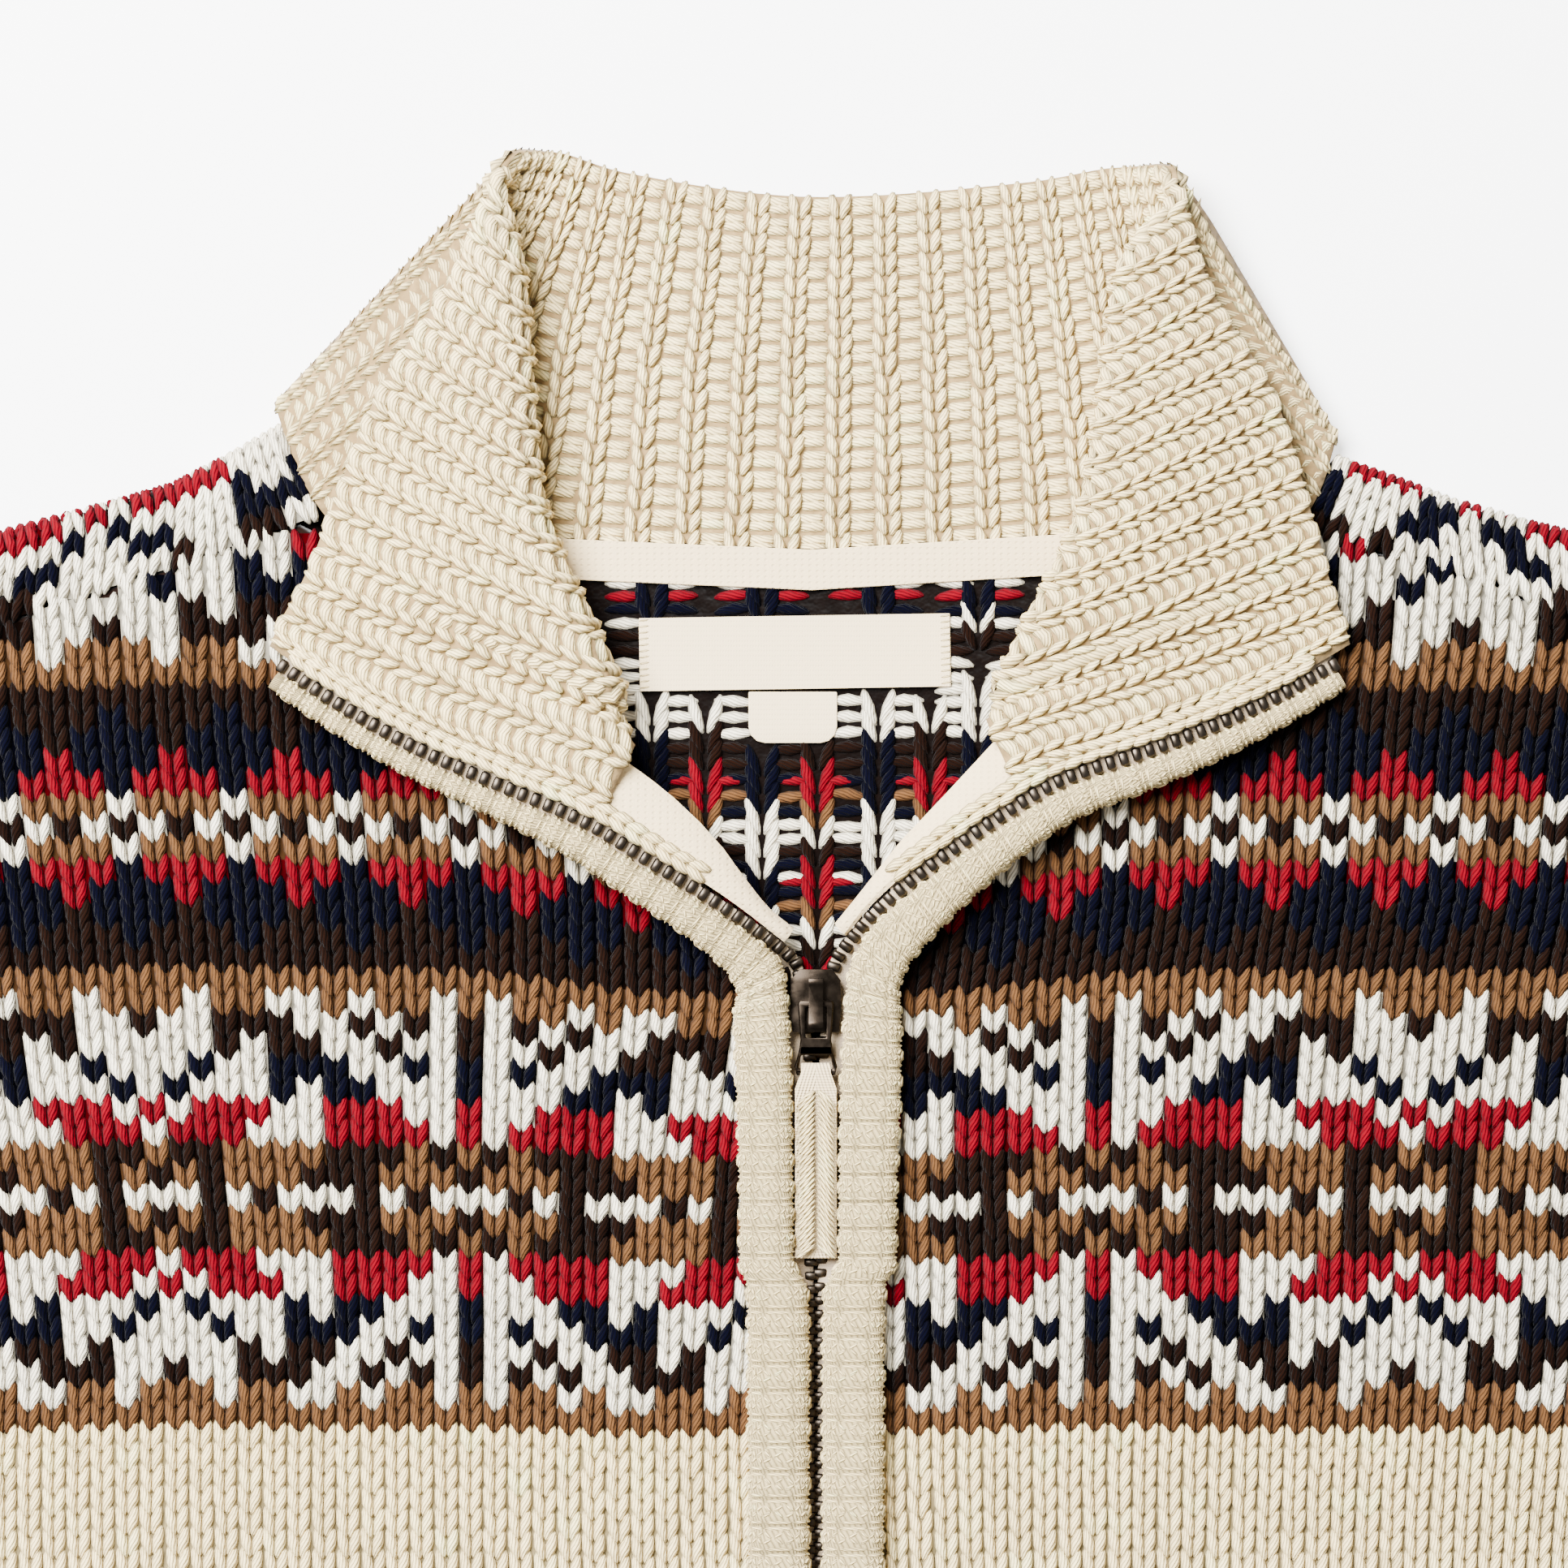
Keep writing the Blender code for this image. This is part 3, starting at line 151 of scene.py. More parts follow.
# Shape of a knitted V, as shares of the stitch's width and height
LEG_HEAD = 0.365
LEG_FOOT = 0.085
LEG_HALF = 0.246
LEG_LOW = 0.02
LEG_LENGTH = 1.55
END_WIDTH = 0.22
# Painted shade: each length's colour darkens toward its sides (EDGE_SHADE) and its ends (END_SHADE);
# LEAF_SHADE softens it on the plainest lengths
EDGE_SHADE = 0.78
END_SHADE = 0.45
FINE = (5, 5)
LOOP = (3, 4)
COARSE = (3, 3)
LEAF = "leaf"
LEAF_SHADE = 0.7
LEAF_POINTS = [1, 3, 4, 5, 7]
LEAF_FACES = np.array([(1, 4, 2, 0), (2, 4, 3, 0)])
CAMERA_WINDOW = (-152.0, 104.0, 141.0, 400.0)
SEED = 7

# Collar: 54 ribs from the left zip edge round the back to the right one. A station gives the neck
# seam, the crest of the outward roll and the free top edge; where roll_r is 0 nothing is rolled.
COLLAR_RIBS = 54
COLLAR_WALL = 1.7
COLLAR_COLUMNS = ("rib", "seam_x", "seam_y", "seam_z", "roll_x", "roll_y", "roll_z", "roll_r",
                  "edge_x", "edge_y", "edge_z", "bow")
COLLAR_STATIONS = (
    (0, -38.8, 246.6, 15.2, -46.0, 250.4, 15.6, 0.0, -99.2, 277.2, 10.2, -2.6),
    (1, -36.2, 252.6, 15.4, -43.0, 256.2, 16.0, 0.0, -97.6, 281.2, 10.2, -1.6),
    (2, -33.2, 258.9, 13.6, -38.6, 262.0, 15.8, 0.0, -94.6, 286.4, 10.2, -0.6),
    (3, -38.4, 262.4, 8.6, -35.1, 267.6, 12.4, 3.0, -91.6, 292.6, 10.2, 0.0),
    (4, -46.6, 265.2, 6.6, -38.9, 275.9, 12.2, 3.2, -88.9, 299.6, 10.4, 0.0),
    (8, -68.1, 282.2, 6.4, -50.8, 305.2, 11.8, 3.2, -79.2, 323.4, 11.8, 0.0),
    (12, -90.3, 302.2, 6.4, -53.3, 333.6, 11.8, 3.2, -65.0, 345.3, 13.2, 0.0),
    (14, -95.4, 311.6, 6.0, -54.6, 347.6, 11.6, 3.0, -60.6, 355.6, 13.6, 0.0),
    (16, -98.6, 321.4, 3.8, -62.0, 359.2, 8.2, 0.0, -55.0, 366.8, 9.6, 0.0),
    (17, -91.0, 315.6, 2.0, -59.0, 355.0, 4.8, 0.0, -52.6, 367.8, 6.8, 0.0),
    (19, -74.0, 306.6, 1.3, -59.4, 343.0, 1.6, 0.0, -47.9, 368.0, 3.0, 0.0),
    (22, -46.6, 298.4, 1.3, -41.9, 332.3, 1.3, 0.0, -35.1, 364.4, 1.3, 0.0),
    (27, -0.7, 296.5, 1.3, 0.0, 328.6, 1.3, 0.0, 1.0, 359.9, 1.3, 0.0),
    (32, 45.1, 299.2, 1.3, 42.2, 331.5, 1.3, 0.0, 38.9, 362.6, 1.3, 0.0),
    (35, 70.3, 305.8, 1.3, 61.4, 339.0, 1.6, 0.0, 55.6, 365.2, 3.0, 0.0),
    (37, 87.4, 311.2, 2.0, 67.0, 351.0, 4.8, 0.0, 61.6, 365.2, 6.8, 0.0),
    (38, 94.9, 315.6, 3.8, 71.4, 354.4, 8.2, 0.0, 64.4, 364.4, 9.6, 0.0),
    (40, 92.6, 307.2, 6.0, 56.0, 346.2, 11.6, 3.0, 67.6, 353.0, 13.6, 0.0),
    (42, 88.1, 299.4, 6.4, 53.7, 333.0, 11.8, 3.2, 71.0, 342.6, 13.2, 0.0),
    (46, 66.6, 283.8, 6.4, 49.9, 305.6, 11.8, 3.2, 83.3, 322.0, 11.8, 0.0),
    (50, 45.1, 268.3, 6.6, 36.6, 276.8, 12.2, 3.2, 90.6, 299.0, 10.4, 0.0),
    (51, 36.4, 265.6, 8.6, 32.6, 268.9, 12.4, 3.0, 92.4, 292.8, 10.2, 0.0),
    (52, 31.2, 263.4, 13.6, 36.6, 265.6, 15.8, 0.0, 93.8, 287.2, 10.2, -0.6),
    (53, 33.6, 257.6, 15.4, 40.6, 261.0, 16.0, 0.0, 95.8, 282.0, 10.2, -1.6),
    (54, 36.0, 252.0, 15.2, 43.6, 255.4, 15.6, 0.0, 97.0, 277.6, 10.2, -2.6),
)
SECTION_POINTS = 3, 4, 8
SEAM_TUCK = 2.2
SEAM_TUCK_Z = 2.5
FLAP_CROWN = 1.2
COLLAR_KNIT_ROWS = 18
FLAP_PURL_ROWS = 24
BACK_PURL_ROWS = 34
BACK_RIBS = (17, 38)
COLLAR_KNIT_SHARE = 0.66
COLLAR_PURL_SHARE = 0.52
FLAP_PURL_SHARE = 0.62
COLLAR_REACH = (0.33, 0.07)
COLLAR_LEG_LENGTH = 1.3
COLLAR_LEG_HALF = (0.22, 0.75, 1.15)
PURL_HALF = {"back": 1.12, "flap": 1.35}
PURL_BOW = {"back": 0.4, "flap": 0.6}
FLAP_PURL_LEAN = 0.28
PURL_TAPER = 0.7
KNIT_SINK = 0.15
PURL_SINK = 0.2

# Chain of stitches along the collar's edge, beside the teeth
WELT_FROM_Y = 233.0
WELT_INSET = 3.1
WELT_PITCH = 3.3
WELT_WIDTH = 4.0
WELT_LIFT = 0.9
WELT_REACH = (0.30, 0.10)
WELT_LENGTH = 1.45
WELT_HALF = 1.15
WELT_RISE = 1.5

# The zip: the teeth's line, the distance out to the knitted band beside it, the band's width as
# seen from above and the height of its crest
ZIP_COLUMNS = ("x", "y", "z", "band_gap", "band_width", "band_top")
ZIP_LINES = {
    -1: (
        (-1.4, HEM_Y + 1.0, 5.7, 0.0, 10.6, 12.8),
        (-1.4, -150.0, 5.7, 0.0, 10.6, 12.8),
        (-1.4, 60.0, 5.7, 0.0, 10.6, 12.8),
        (-1.4, 150.0, 5.7, 0.0, 10.8, 12.8),
        (-1.4, 160.5, 5.7, 0.3, 10.7, 12.8),
        (-1.4, 165.4, 5.7, 2.8, 9.6, 12.8),
        (-1.4, 176.0, 5.7, 2.9, 9.4, 12.8),
        (-1.5, 195.0, 5.7, 3.1, 9.6, 12.8),
        (-1.9, 208.0, 5.7, 3.1, 9.7, 13.0),
        (-3.3, 218.8, 5.8, 2.8, 9.2, 13.4),
        (-6.8, 222.6, 8.8, 1.7, 8.8, 13.8),
        (-11.1, 225.9, 11.2, 1.6, 7.4, 14.4),
        (-18.5, 231.0, 13.2, 1.6, 6.4, 15.4),
        (-30.3, 238.3, 14.6, 1.6, 5.8, 16.2),
        (-41.6, 245.2, 15.2, 1.6, 5.2, 16.4),
        (-57.0, 251.9, 14.8, 1.6, 4.0, 15.8),
        (-71.8, 258.4, 13.9, 1.6, 3.4, 15.0),
        (-86.6, 266.7, 12.2, 1.6, 3.0, 13.4),
        (-97.0, 273.6, 10.6, 1.6, 2.8, 12.0),
    ),
    1: (
        (1.4, HEM_Y + 1.0, 5.7, 0.0, 10.6, 12.8),
        (1.4, -150.0, 5.7, 0.0, 10.6, 12.8),
        (1.4, 60.0, 5.7, 0.0, 10.6, 12.8),
        (1.4, 150.0, 5.7, 0.0, 10.8, 12.8),
        (1.4, 160.5, 5.7, 0.3, 10.8, 12.8),
        (1.4, 165.4, 5.7, 2.8, 10.3, 12.8),
        (1.4, 176.0, 5.7, 2.9, 10.2, 12.8),
        (1.5, 195.0, 5.7, 3.1, 10.6, 12.8),
        (1.9, 208.0, 5.7, 3.3, 10.2, 13.0),
        (3.3, 218.8, 5.8, 3.0, 9.4, 13.4),
        (6.2, 223.6, 8.8, 2.2, 9.2, 13.8),
        (9.9, 228.0, 11.2, 1.6, 9.0, 14.4),
        (15.5, 233.2, 13.2, 1.6, 8.4, 15.4),
        (22.9, 239.0, 14.6, 1.6, 7.4, 16.2),
        (37.7, 249.2, 15.2, 1.6, 6.0, 16.4),
        (45.1, 253.2, 15.0, 1.6, 5.6, 16.2),
        (58.5, 257.7, 14.6, 1.6, 5.0, 15.8),
        (70.3, 262.0, 13.8, 1.6, 4.2, 15.0),
        (82.1, 267.2, 12.4, 1.6, 3.4, 13.6),
        (94.2, 273.8, 10.6, 1.6, 2.8, 12.0),
    ),
}
BAND_BASE_Z = 7.5
PUFF_PITCH = 4.9
BAND_STEP = 0.82
BAND_SIDES = 20
BAND_TURN = 16.0
BAND_DRAW_IN = 0.20
BAND_GIRTH = 30.0
# Painted shade on the band's body: darker in the grooves between puffs (GROOVE_SHADE) and along its top under
# the loops (MESH_SHADE)
GROOVE_SHADE = 0.45
MESH_HALF = 0.17
MESH_SHADE = 0.50
# Loops on a band, placed by shares of a puff along it and shares of the turn round it
LOOP_ROWS = ((0.34, 0.56), (0.56, 0.80))
PLAIN_LOOP_ROWS = ((0.34, 0.8),)
LOOPS_ACROSS = 9
LOOP_ARC = (0.33, 0.34)
LOOP_TILT = 0.017
CROSS_SHARES = (0.13, 0.9)
CROSS_COUNT = 5
CROSS_ARC = (0.26, 0.12)
CROSS_HALF_TURN = 0.065
CROSS_BEND = 0.03
SIDE_LINES = (0.22, 0.26, 0.30, 0.70, 0.74, 0.78)
PLAIN_SIDE_LINES = (0.24, 0.29, 0.71, 0.76)
SIDE_LINE_SHARES = (0.24, 0.5, 0.84)
LOOP_HALF = 0.42
CROSS_HALF = 0.5
LOOP_RISE = 0.50
LOOP_SINK = -0.05
TOOTH_SIZE = (2.5, 1.55, 1.9)
TOOTH_BEVEL = 0.3
# Below the slider the two rows of teeth mesh. The tape runs inward under the teeth and out to the band.
MESHED_BELOW_SLIDER = 4.0
MESH_DEPTH = 0.55
TAPE_STEP = 1.6
TAPE_SINK = 0.15
TAPE_PAST_BAND = 1.4
TAPE_INNER, TAPE_INNER_COLLAR = 0.9, 4.2
TAPE_RISE, TAPE_FALL = 1.6, 1.2
TAPE_WALL = 0.5
BAND_COVER = 7.0
SLIDER_Y = 212.2

# Sleeves: the outline's upper and lower edge from the armhole to the cuff; the right one hangs lower
ARMHOLE = ((-235.0, 268.8), (-235.0, 254.0), (-229.0, 190.0), (-233.0, 120.0), (-247.0, 76.0),
           (-271.4, UNDERARM_Y))
SLEEVE_TOP = (ARMHOLE[0], (-290.0, 243.0), (-350.0, 194.0), (-408.0, 124.0), (-568.5, -178.5))
SLEEVE_LOW = (ARMHOLE[-1], (-300.0, 12.0), (-385.0, -116.0), (-469.6, -229.8))
SLEEVE_RINGS = 56
SLEEVE_LENGTH = 540.0
SLEEVE_STITCH = 4.5
SLEEVE_COLUMNS = 64
SLEEVE_FIRST_ROW = -20
ARMHOLE_BLEND = 0.3
CUFF_LENGTH = 65.0
CUFF_WIDTHS = (106.0, 96.0)
CUFF_RIBS = 17
CUFF_RIB_PITCH = 6.0
HEM_RIBS = 40
HEM_RIB_PITCH = 6.5
HEM_SIDE_X = 252.0
RIB_ROWS = 17
RIB_KNIT_SHARE = 0.6
RIB_LEG_LENGTH = 1.4
RIB_LEG_HALF = 0.13
RIB_KNIT_RISE = 1.5
RIB_PURL_REACH = 0.2
RIB_PURL_ENDS, RIB_PURL_MIDDLE = 0.7, 0.2
RIB_PURL_HALF, RIB_PURL_RISE = 1.2, 0.8
HEM_FROM_X = 3.1
YOKE_END_Y = STAR_TOP_Y - ROW_PITCH * STAR_HEIGHT
SLEEVE_YOKE_DROP = 40.0

# Inside of the back that the open neck shows: columns of knots, each a stack of Vs and cross stitches.
# A knot is (kind, yarn, top, bottom); kinds are v for a V and h for a hook to both sides.
RED_KNOTS = (
    ("v", "W", 267.9, 262.4), ("v", "B", 263.4, 258.6), ("v", "B", 260.0, 255.6), ("v", "R", 256.8, 251.2),
    ("v", "R", 252.6, 247.8), ("h", "R", 254.4, 250.6), ("v", "T", 249.4, 244.8), ("v", "W", 246.2, 241.2),
    ("v", "B", 242.4, 237.9), ("v", "R", 238.8, 233.8), ("v", "R", 235.2, 230.2), ("h", "R", 236.0, 232.0),
    ("v", "T", 231.0, 226.4), ("v", "W", 227.8, 222.8), ("v", "B", 223.8, 219.6), ("v", "R", 220.4, 216.0),
)
NAVY_KNOTS = (
    ("v", "N", 290.6, 285.6), ("v", "N", 287.4, 282.6), ("v", "W", 285.6, 280.8), ("v", "B", 282.0, 277.6),
    ("v", "W", 272.4, 267.2), ("v", "W", 268.9, 263.8), ("v", "W", 265.6, 260.8), ("v", "N", 262.0, 257.6),
    ("v", "N", 258.8, 254.4), ("v", "N", 255.6, 251.2), ("v", "N", 252.4, 247.6), ("v", "W", 249.6, 243.8),
    ("v", "W", 245.4, 239.6), ("v", "W", 241.4, 235.6), ("v", "N", 237.0, 232.4), ("v", "N", 233.6, 228.8),
    ("v", "W", 229.8, 225.4), ("v", "B", 226.0, 221.4), ("v", "T", 222.4, 217.8),
)
KNOT_TOP = 290.4
# Half a V and one side of a hook: how far out their guide points lie, their half widths and rises
V_OUT = (2.75, 2.2, 0.45)
V_OVER = 0.7
V_UNDER = 0.9
HOOK_OUT = (1.5, 4.0, 7.0)
HOOK_BOW = 0.7
V_HALF, V_RISE = 1.22, 1.22
HOOK_HALF, HOOK_RISE = 1.05, 1.0
FLOAT_REACH = 3.6
FLOAT_HALF, FLOAT_RISE = 1.2, 0.8
FLOAT_SHIFT = 0.25
FLOAT_BOW = (0.3, 0.4)
LABEL_MARGIN = (0.4, 0.6)
KNOT_COLUMNS = ((-30.0, "navy"), (-20.2, "red"), (-9.8, "navy"), (0.3, "red"), (11.5, "navy"), (21.0, "red"),
                (29.8, "navy"), (-40.2, "red"), (39.6, "red"))
FLOAT_ROWS = (
    ("B", 291.6), ("W", 289.0), ("R", 286.6), ("N", 284.0), ("W", 281.6), ("B", 279.2), ("B", 276.6),
    ("W", 274.0), ("W", 271.6), ("W", 269.4), ("W", 267.3), ("W", 264.4), ("W", 261.5), ("B", 258.7),
    ("B", 255.8), ("N", 252.9), ("T", 250.0), ("N", 247.0), ("W", 244.6), ("W", 242.2), ("B", 239.9),
    ("N", 237.4), ("W", 234.9), ("N", 232.4), ("T", 229.9), ("N", 227.6), ("W", 225.2), ("W", 222.8),
    ("B", 220.4), ("N", 218.0),
)

# Labels at the back neck
LABEL_SIZE = (57.0, 13.4, 0.9)
LABEL_CENTRE = (-3.8, 276.3)
LABEL_TILT = 0.9
SIZE_LABEL_SIZE = (16.2, 9.4, 0.7)
SIZE_LABEL_CENTRE = (-4.2, 264.4)
TRIM_Z = 3.3
TAPE_TUCK_FROM_Y = 242.0
TAPE_TUCK = (6.0, 2.0, -1.0)

# Herringbone of the pull tab
TAB_LOOP_LENGTH = 5.4
TAB_THREAD_PITCH = 1.0
TAB_SINK = 0.12
TAB_THREAD_HALF, TAB_THREAD_RISE = 0.36, 0.5
TAB_THREAD_FROM, TAB_THREAD_BEND = 0.15, 0.4
TAB_THREAD_ALONG = (2.2, 0.8, -2.0)
TAB_FIRST_THREAD = 0.6
TAB_EDGE = 0.25
TAB_ENDS = (0.1, 0.4)
# Overcast threads at the two ends of the neck label
LABEL_THREAD_PITCH = 1.1
LABEL_THREAD_REACH = 0.9
LABEL_THREAD_SLANT = (0.0, 0.15, 0.25)
LABEL_THREAD_SHADE = 0.9
LABEL_THREAD_HALF, LABEL_THREAD_RISE = 0.22, 0.28

# The camera looks straight down, as the photograph does
CAMERA_PLACE = (-5.8, 252.2, 961.0)
CAMERA_LENS = 120.0
CAMERA_SENSOR = 36.0
# The floor and the soft lamp, in metres but for the floor's drop
FLOOR_HALF = 3.0
FLOOR_DROP = 0.05
LAMP_PLACE = (-0.55, 0.75, 1.1)
LAMP_AIM = (0.0, 0.25, 0.0)
LAMP_SIZE = 0.9
WHITE = (1.0, 1.0, 1.0, 1.0)


def length_setting(name, description, size):
    return FloatProperty(name=name, description=description, default=size * MM, unit="LENGTH", precision=5)


def colour_setting(name, description, colour):
    return FloatVectorProperty(name=name, description=description, default=colour, subtype="COLOR",
                               min=0.0, max=1.0)


def share_setting(name, description, value, top=1.0):
    return FloatProperty(name=name, description=description, default=value, min=0.0, max=top)


class SweaterYarns(bpy.types.PropertyGroup):
    cream: colour_setting("Cream", "Yarn of the body, the collar and the bands", (0.95, 0.745, 0.375))
    white: colour_setting("White", "White of the pattern", (0.88, 0.80, 0.62))
    brown: colour_setting("Brown", "Dark brown of the pattern", (0.0080, 0.0031, 0.0018))
    navy: colour_setting("Navy", "Navy of the pattern", (0.0012, 0.0013, 0.0050))
    tan: colour_setting("Tan", "Tan of the pattern", (0.108, 0.048, 0.018))
    red: colour_setting("Red", "Red of the pattern", (0.14, 0.0, 0.006))
    # Painted shadow: colour of the collar's cloth that shows between its stitches
    shadow: colour_setting("Shadow", "Deep cream between the cream stitches", (0.34, 0.225, 0.10))
    roughness: share_setting("Roughness", "Roughness of the cotton", 0.88)
    variation: share_setting("Variation", "How far stitches differ in brightness", 0.07)


class SweaterStitches(bpy.types.PropertyGroup):
    rise: length_setting("Rise", "Height of a stitch over the ground of the cloth", 1.55)
    ply: length_setting("Ply", "Width of one ply of the yarn", 0.66)
    # Painted shade: the ground quads between the stitches carry their yarn darkened to this share
    shade: share_setting("Ground", "Brightness of the ground between the stitches", 0.20)
    collar_rise: length_setting("Collar rise", "Height of the collar's knit columns", 1.9)
    purl_rise: length_setting("Purl rise", "Height of the collar's purl columns", 1.15)


class SweaterTrims(bpy.types.PropertyGroup):
    tape: colour_setting("Tape", "Neck tape and facing tapes", (0.70, 0.545, 0.315))
    label: colour_setting("Label", "Woven labels", (0.70, 0.56, 0.34))
    zip_tape: colour_setting("Zip tape", "Woven tape that carries the teeth", (0.36, 0.28, 0.19))
    teeth: colour_setting("Teeth", "Antique metal of the teeth", (0.055, 0.044, 0.034))
    slider: colour_setting("Slider", "Dark bronze of the slider", (0.020, 0.015, 0.011))
    tooth_pitch: length_setting("Tooth pitch", "Distance from tooth to tooth", 2.5)


class SweaterStage(bpy.types.PropertyGroup):
    floor: colour_setting("Floor", "Pale surface that the garment lies on", (0.90, 0.90, 0.90))
    glow: share_setting("Glow", "Light that comes up through the floor's white paper", 1.5, 5.0)
    sky: share_setting("Sky", "Strength of the even light from all round", 0.6, 5.0)
    lamp: FloatProperty(name="Lamp", description="Power of the large soft lamp", default=150.0, min=0.0)


def side_name(side):
    return "left" if side < 0 else "right"


def settings():
    scene = bpy.context.scene
    return scene.sweater_yarns, scene.sweater_stitches, scene.sweater_trims, scene.sweater_stage


def in_mm(size):
    return size / MM


def yarn_colours():
    yarns = settings()[0]
    return np.array([tuple(getattr(yarns, name)) for name in YARNS.values()])


def yarn_index(letters):
    order = list(YARNS)
    return np.array([order.index(letter) for letter in letters])


def pattern_chart():
    """Yarns of one repeat: a row for each row of the pattern, a column for each stitch of a star."""
    across = np.abs((np.arange(2 * STAR_HALF) + STAR_HALF) % (2 * STAR_HALF) - STAR_HALF)
    star = [yarn_index(STAR_ROWS[min(row, STAR_HEIGHT - 1 - row)])[across] for row in range(STAR_HEIGHT)]
    from_flower = (np.arange(2 * STAR_HALF) - FLOWER_PHASE) % FLOWER_REPEAT
    from_flower = np.minimum(from_flower, FLOWER_REPEAT - from_flower)
    flower = [yarn_index(row)[from_flower] for row in FLOWER_ROWS]
    return np.array(star + flower + star)


def pattern_yarn(columns, rows):
    chart = pattern_chart()
    index = np.clip(rows - UPPER_STAR_ROW, 0, len(chart) - 1)
    yarn = chart[index, columns % (2 * STAR_HALF)]
    return np.where(rows >= STAR_HEIGHT, yarn_index("C")[0], yarn)


def shade_material(name, base, roughness, metallic=0.0, sheen=0.0):
    """A material whose shader has these plain values. Returns it with its nodes, links and shader."""
    material = bpy.data.materials.new(name)
    material.use_nodes = True
    nodes, links = material.node_tree.nodes, material.node_tree.links
    shader = nodes["Principled BSDF"]
    shader.inputs["Base Color"].default_value = (*base, 1.0)
    shader.inputs["Roughness"].default_value = roughness
    shader.inputs["Metallic"].default_value = metallic
    shader.inputs["Specular IOR Level"].default_value = 0.5 if metallic else 0.0
    shader.inputs["Sheen Weight"].default_value = sheen
    shader.inputs["Sheen Roughness"].default_value = 0.5
    material.diffuse_color = (*base, 1.0)
    return material, nodes, links, shader


def maths(nodes, links, operation, first, second=None, third=None):
    node = nodes.new("ShaderNodeMath")
    node.operation = operation
    for socket, value in zip(node.inputs, (first, second, third)):
        if value is None:
            continue
        if isinstance(value, (int, float)):
            socket.default_value = value
        else:
            links.new(value, socket)
    return node.outputs[0]


def scaled_colour(nodes, links, colour, scale, shader):
    """Gives the shader a colour, plain or from a socket, times a scale."""
    tone = nodes.new("ShaderNodeVectorMath")
    tone.operation = "SCALE"
    if isinstance(colour, tuple):
        tone.inputs[0].default_value = colour
    else:
        links.new(colour, tone.inputs[0])
    links.new(scale, tone.inputs["Scale"])
    links.new(tone.outputs[0], shader.inputs["Base Color"])


def relief(nodes, links, height, depth, shader):
    """Gives the shader a relief from a height, with its depth in millimetres."""
    bump = nodes.new("ShaderNodeBump")
    bump.inputs["Distance"].default_value = depth * MM
    links.new(height, bump.inputs["Height"])
    links.new(bump.outputs[0], shader.inputs["Normal"])


def object_noise(nodes, links, scale, detail=2.0):
    """Noise over the garment's own place. Returns the place and the noise."""
    place = nodes.new("ShaderNodeTexCoord").outputs["Object"]
    noise = nodes.new("ShaderNodeTexNoise")
    noise.inputs["Scale"].default_value = scale
    noise.inputs["Detail"].default_value = detail
    links.new(place, noise.inputs["Vector"])
    return place, noise.outputs["Fac"]


def stitch_colour(nodes):
    """The colour that each stitch carries."""
    colour = nodes.new("ShaderNodeAttribute")
    colour.attribute_name = "yarn_colour"
    return colour.outputs["Color"]


def new_group(name, inputs, outputs):
    """A shader node group with sockets given as (name, kind, default)."""
    group = bpy.data.node_groups.new(name, "ShaderNodeTree")
    for label, kind, default in inputs:
        socket = group.interface.new_socket(label, in_out="INPUT", socket_type=kind)
        if default is not None:
            socket.default_value = default
    for label, kind in outputs:
        group.interface.new_socket(label, in_out="OUTPUT", socket_type=kind)
    start = group.nodes.new("NodeGroupInput")
    end = group.nodes.new("NodeGroupOutput")
    return group, start, end


def ply_group():
    """Twisted plies along the yarn, and fibres over them, from the yarn's own UV in millimetres. Its Shade
    darkens the colour in the grooves between plies, painted shade, with random tone from the fibres.
    """
    existing = bpy.data.node_groups.get("yarn_plies")
    if existing:
        return existing
    stitches = settings()[1]
    group, start, end = new_group("yarn_plies", [("Depth", "NodeSocketFloat", 0.30)],
                                  [("Normal", "NodeSocketVector"), ("Shade", "NodeSocketFloat")])
    nodes, links = group.nodes, group.links
    uv = nodes.new("ShaderNodeUVMap")
    uv.uv_map = "yarn"
    split = nodes.new("ShaderNodeSeparateXYZ")
    links.new(uv.outputs[0], split.inputs[0])
    ply = in_mm(stitches.ply)
    twist = maths(nodes, links, "MULTIPLY", split.outputs["Y"], 0.34)
    turn = maths(nodes, links, "ADD", split.outputs["X"], twist)
    wave = maths(nodes, links, "SINE", maths(nodes, links, "MULTIPLY", turn, math.pi / ply))
    groove = maths(nodes, links, "POWER", maths(nodes, links, "ABSOLUTE", wave), 0.7)
    fibres = nodes.new("ShaderNodeTexNoise")
    fibres.inputs["Scale"].default_value = 3.4
    fibres.inputs["Detail"].default_value = 3.0
    fibres.inputs["Roughness"].default_value = 0.65
    stretch = nodes.new("ShaderNodeMapping")
    stretch.inputs["Scale"].default_value = (2.2, 0.7, 1.0)
    links.new(uv.outputs[0], stretch.inputs["Vector"])
    links.new(stretch.outputs[0], fibres.inputs["Vector"])
    height = maths(nodes, links, "MULTIPLY_ADD", fibres.outputs["Fac"], 0.55, groove)
    bump = nodes.new("ShaderNodeBump")
    bump.inputs["Strength"].default_value = 0.85
    links.new(maths(nodes, links, "MULTIPLY", start.outputs["Depth"], MM), bump.inputs["Distance"])
    links.new(height, bump.inputs["Height"])
    links.new(bump.outputs[0], end.inputs["Normal"])
    # Painted shade: the colour is darker in the grooves between the plies
    painted_shade = maths(nodes, links, "MULTIPLY_ADD", groove, 0.55, 0.52)
    fluff = maths(nodes, links, "MULTIPLY_ADD", fibres.outputs["Fac"], 0.22, -0.11)
    links.new(maths(nodes, links, "ADD", painted_shade, fluff), end.inputs["Shade"])
    return group


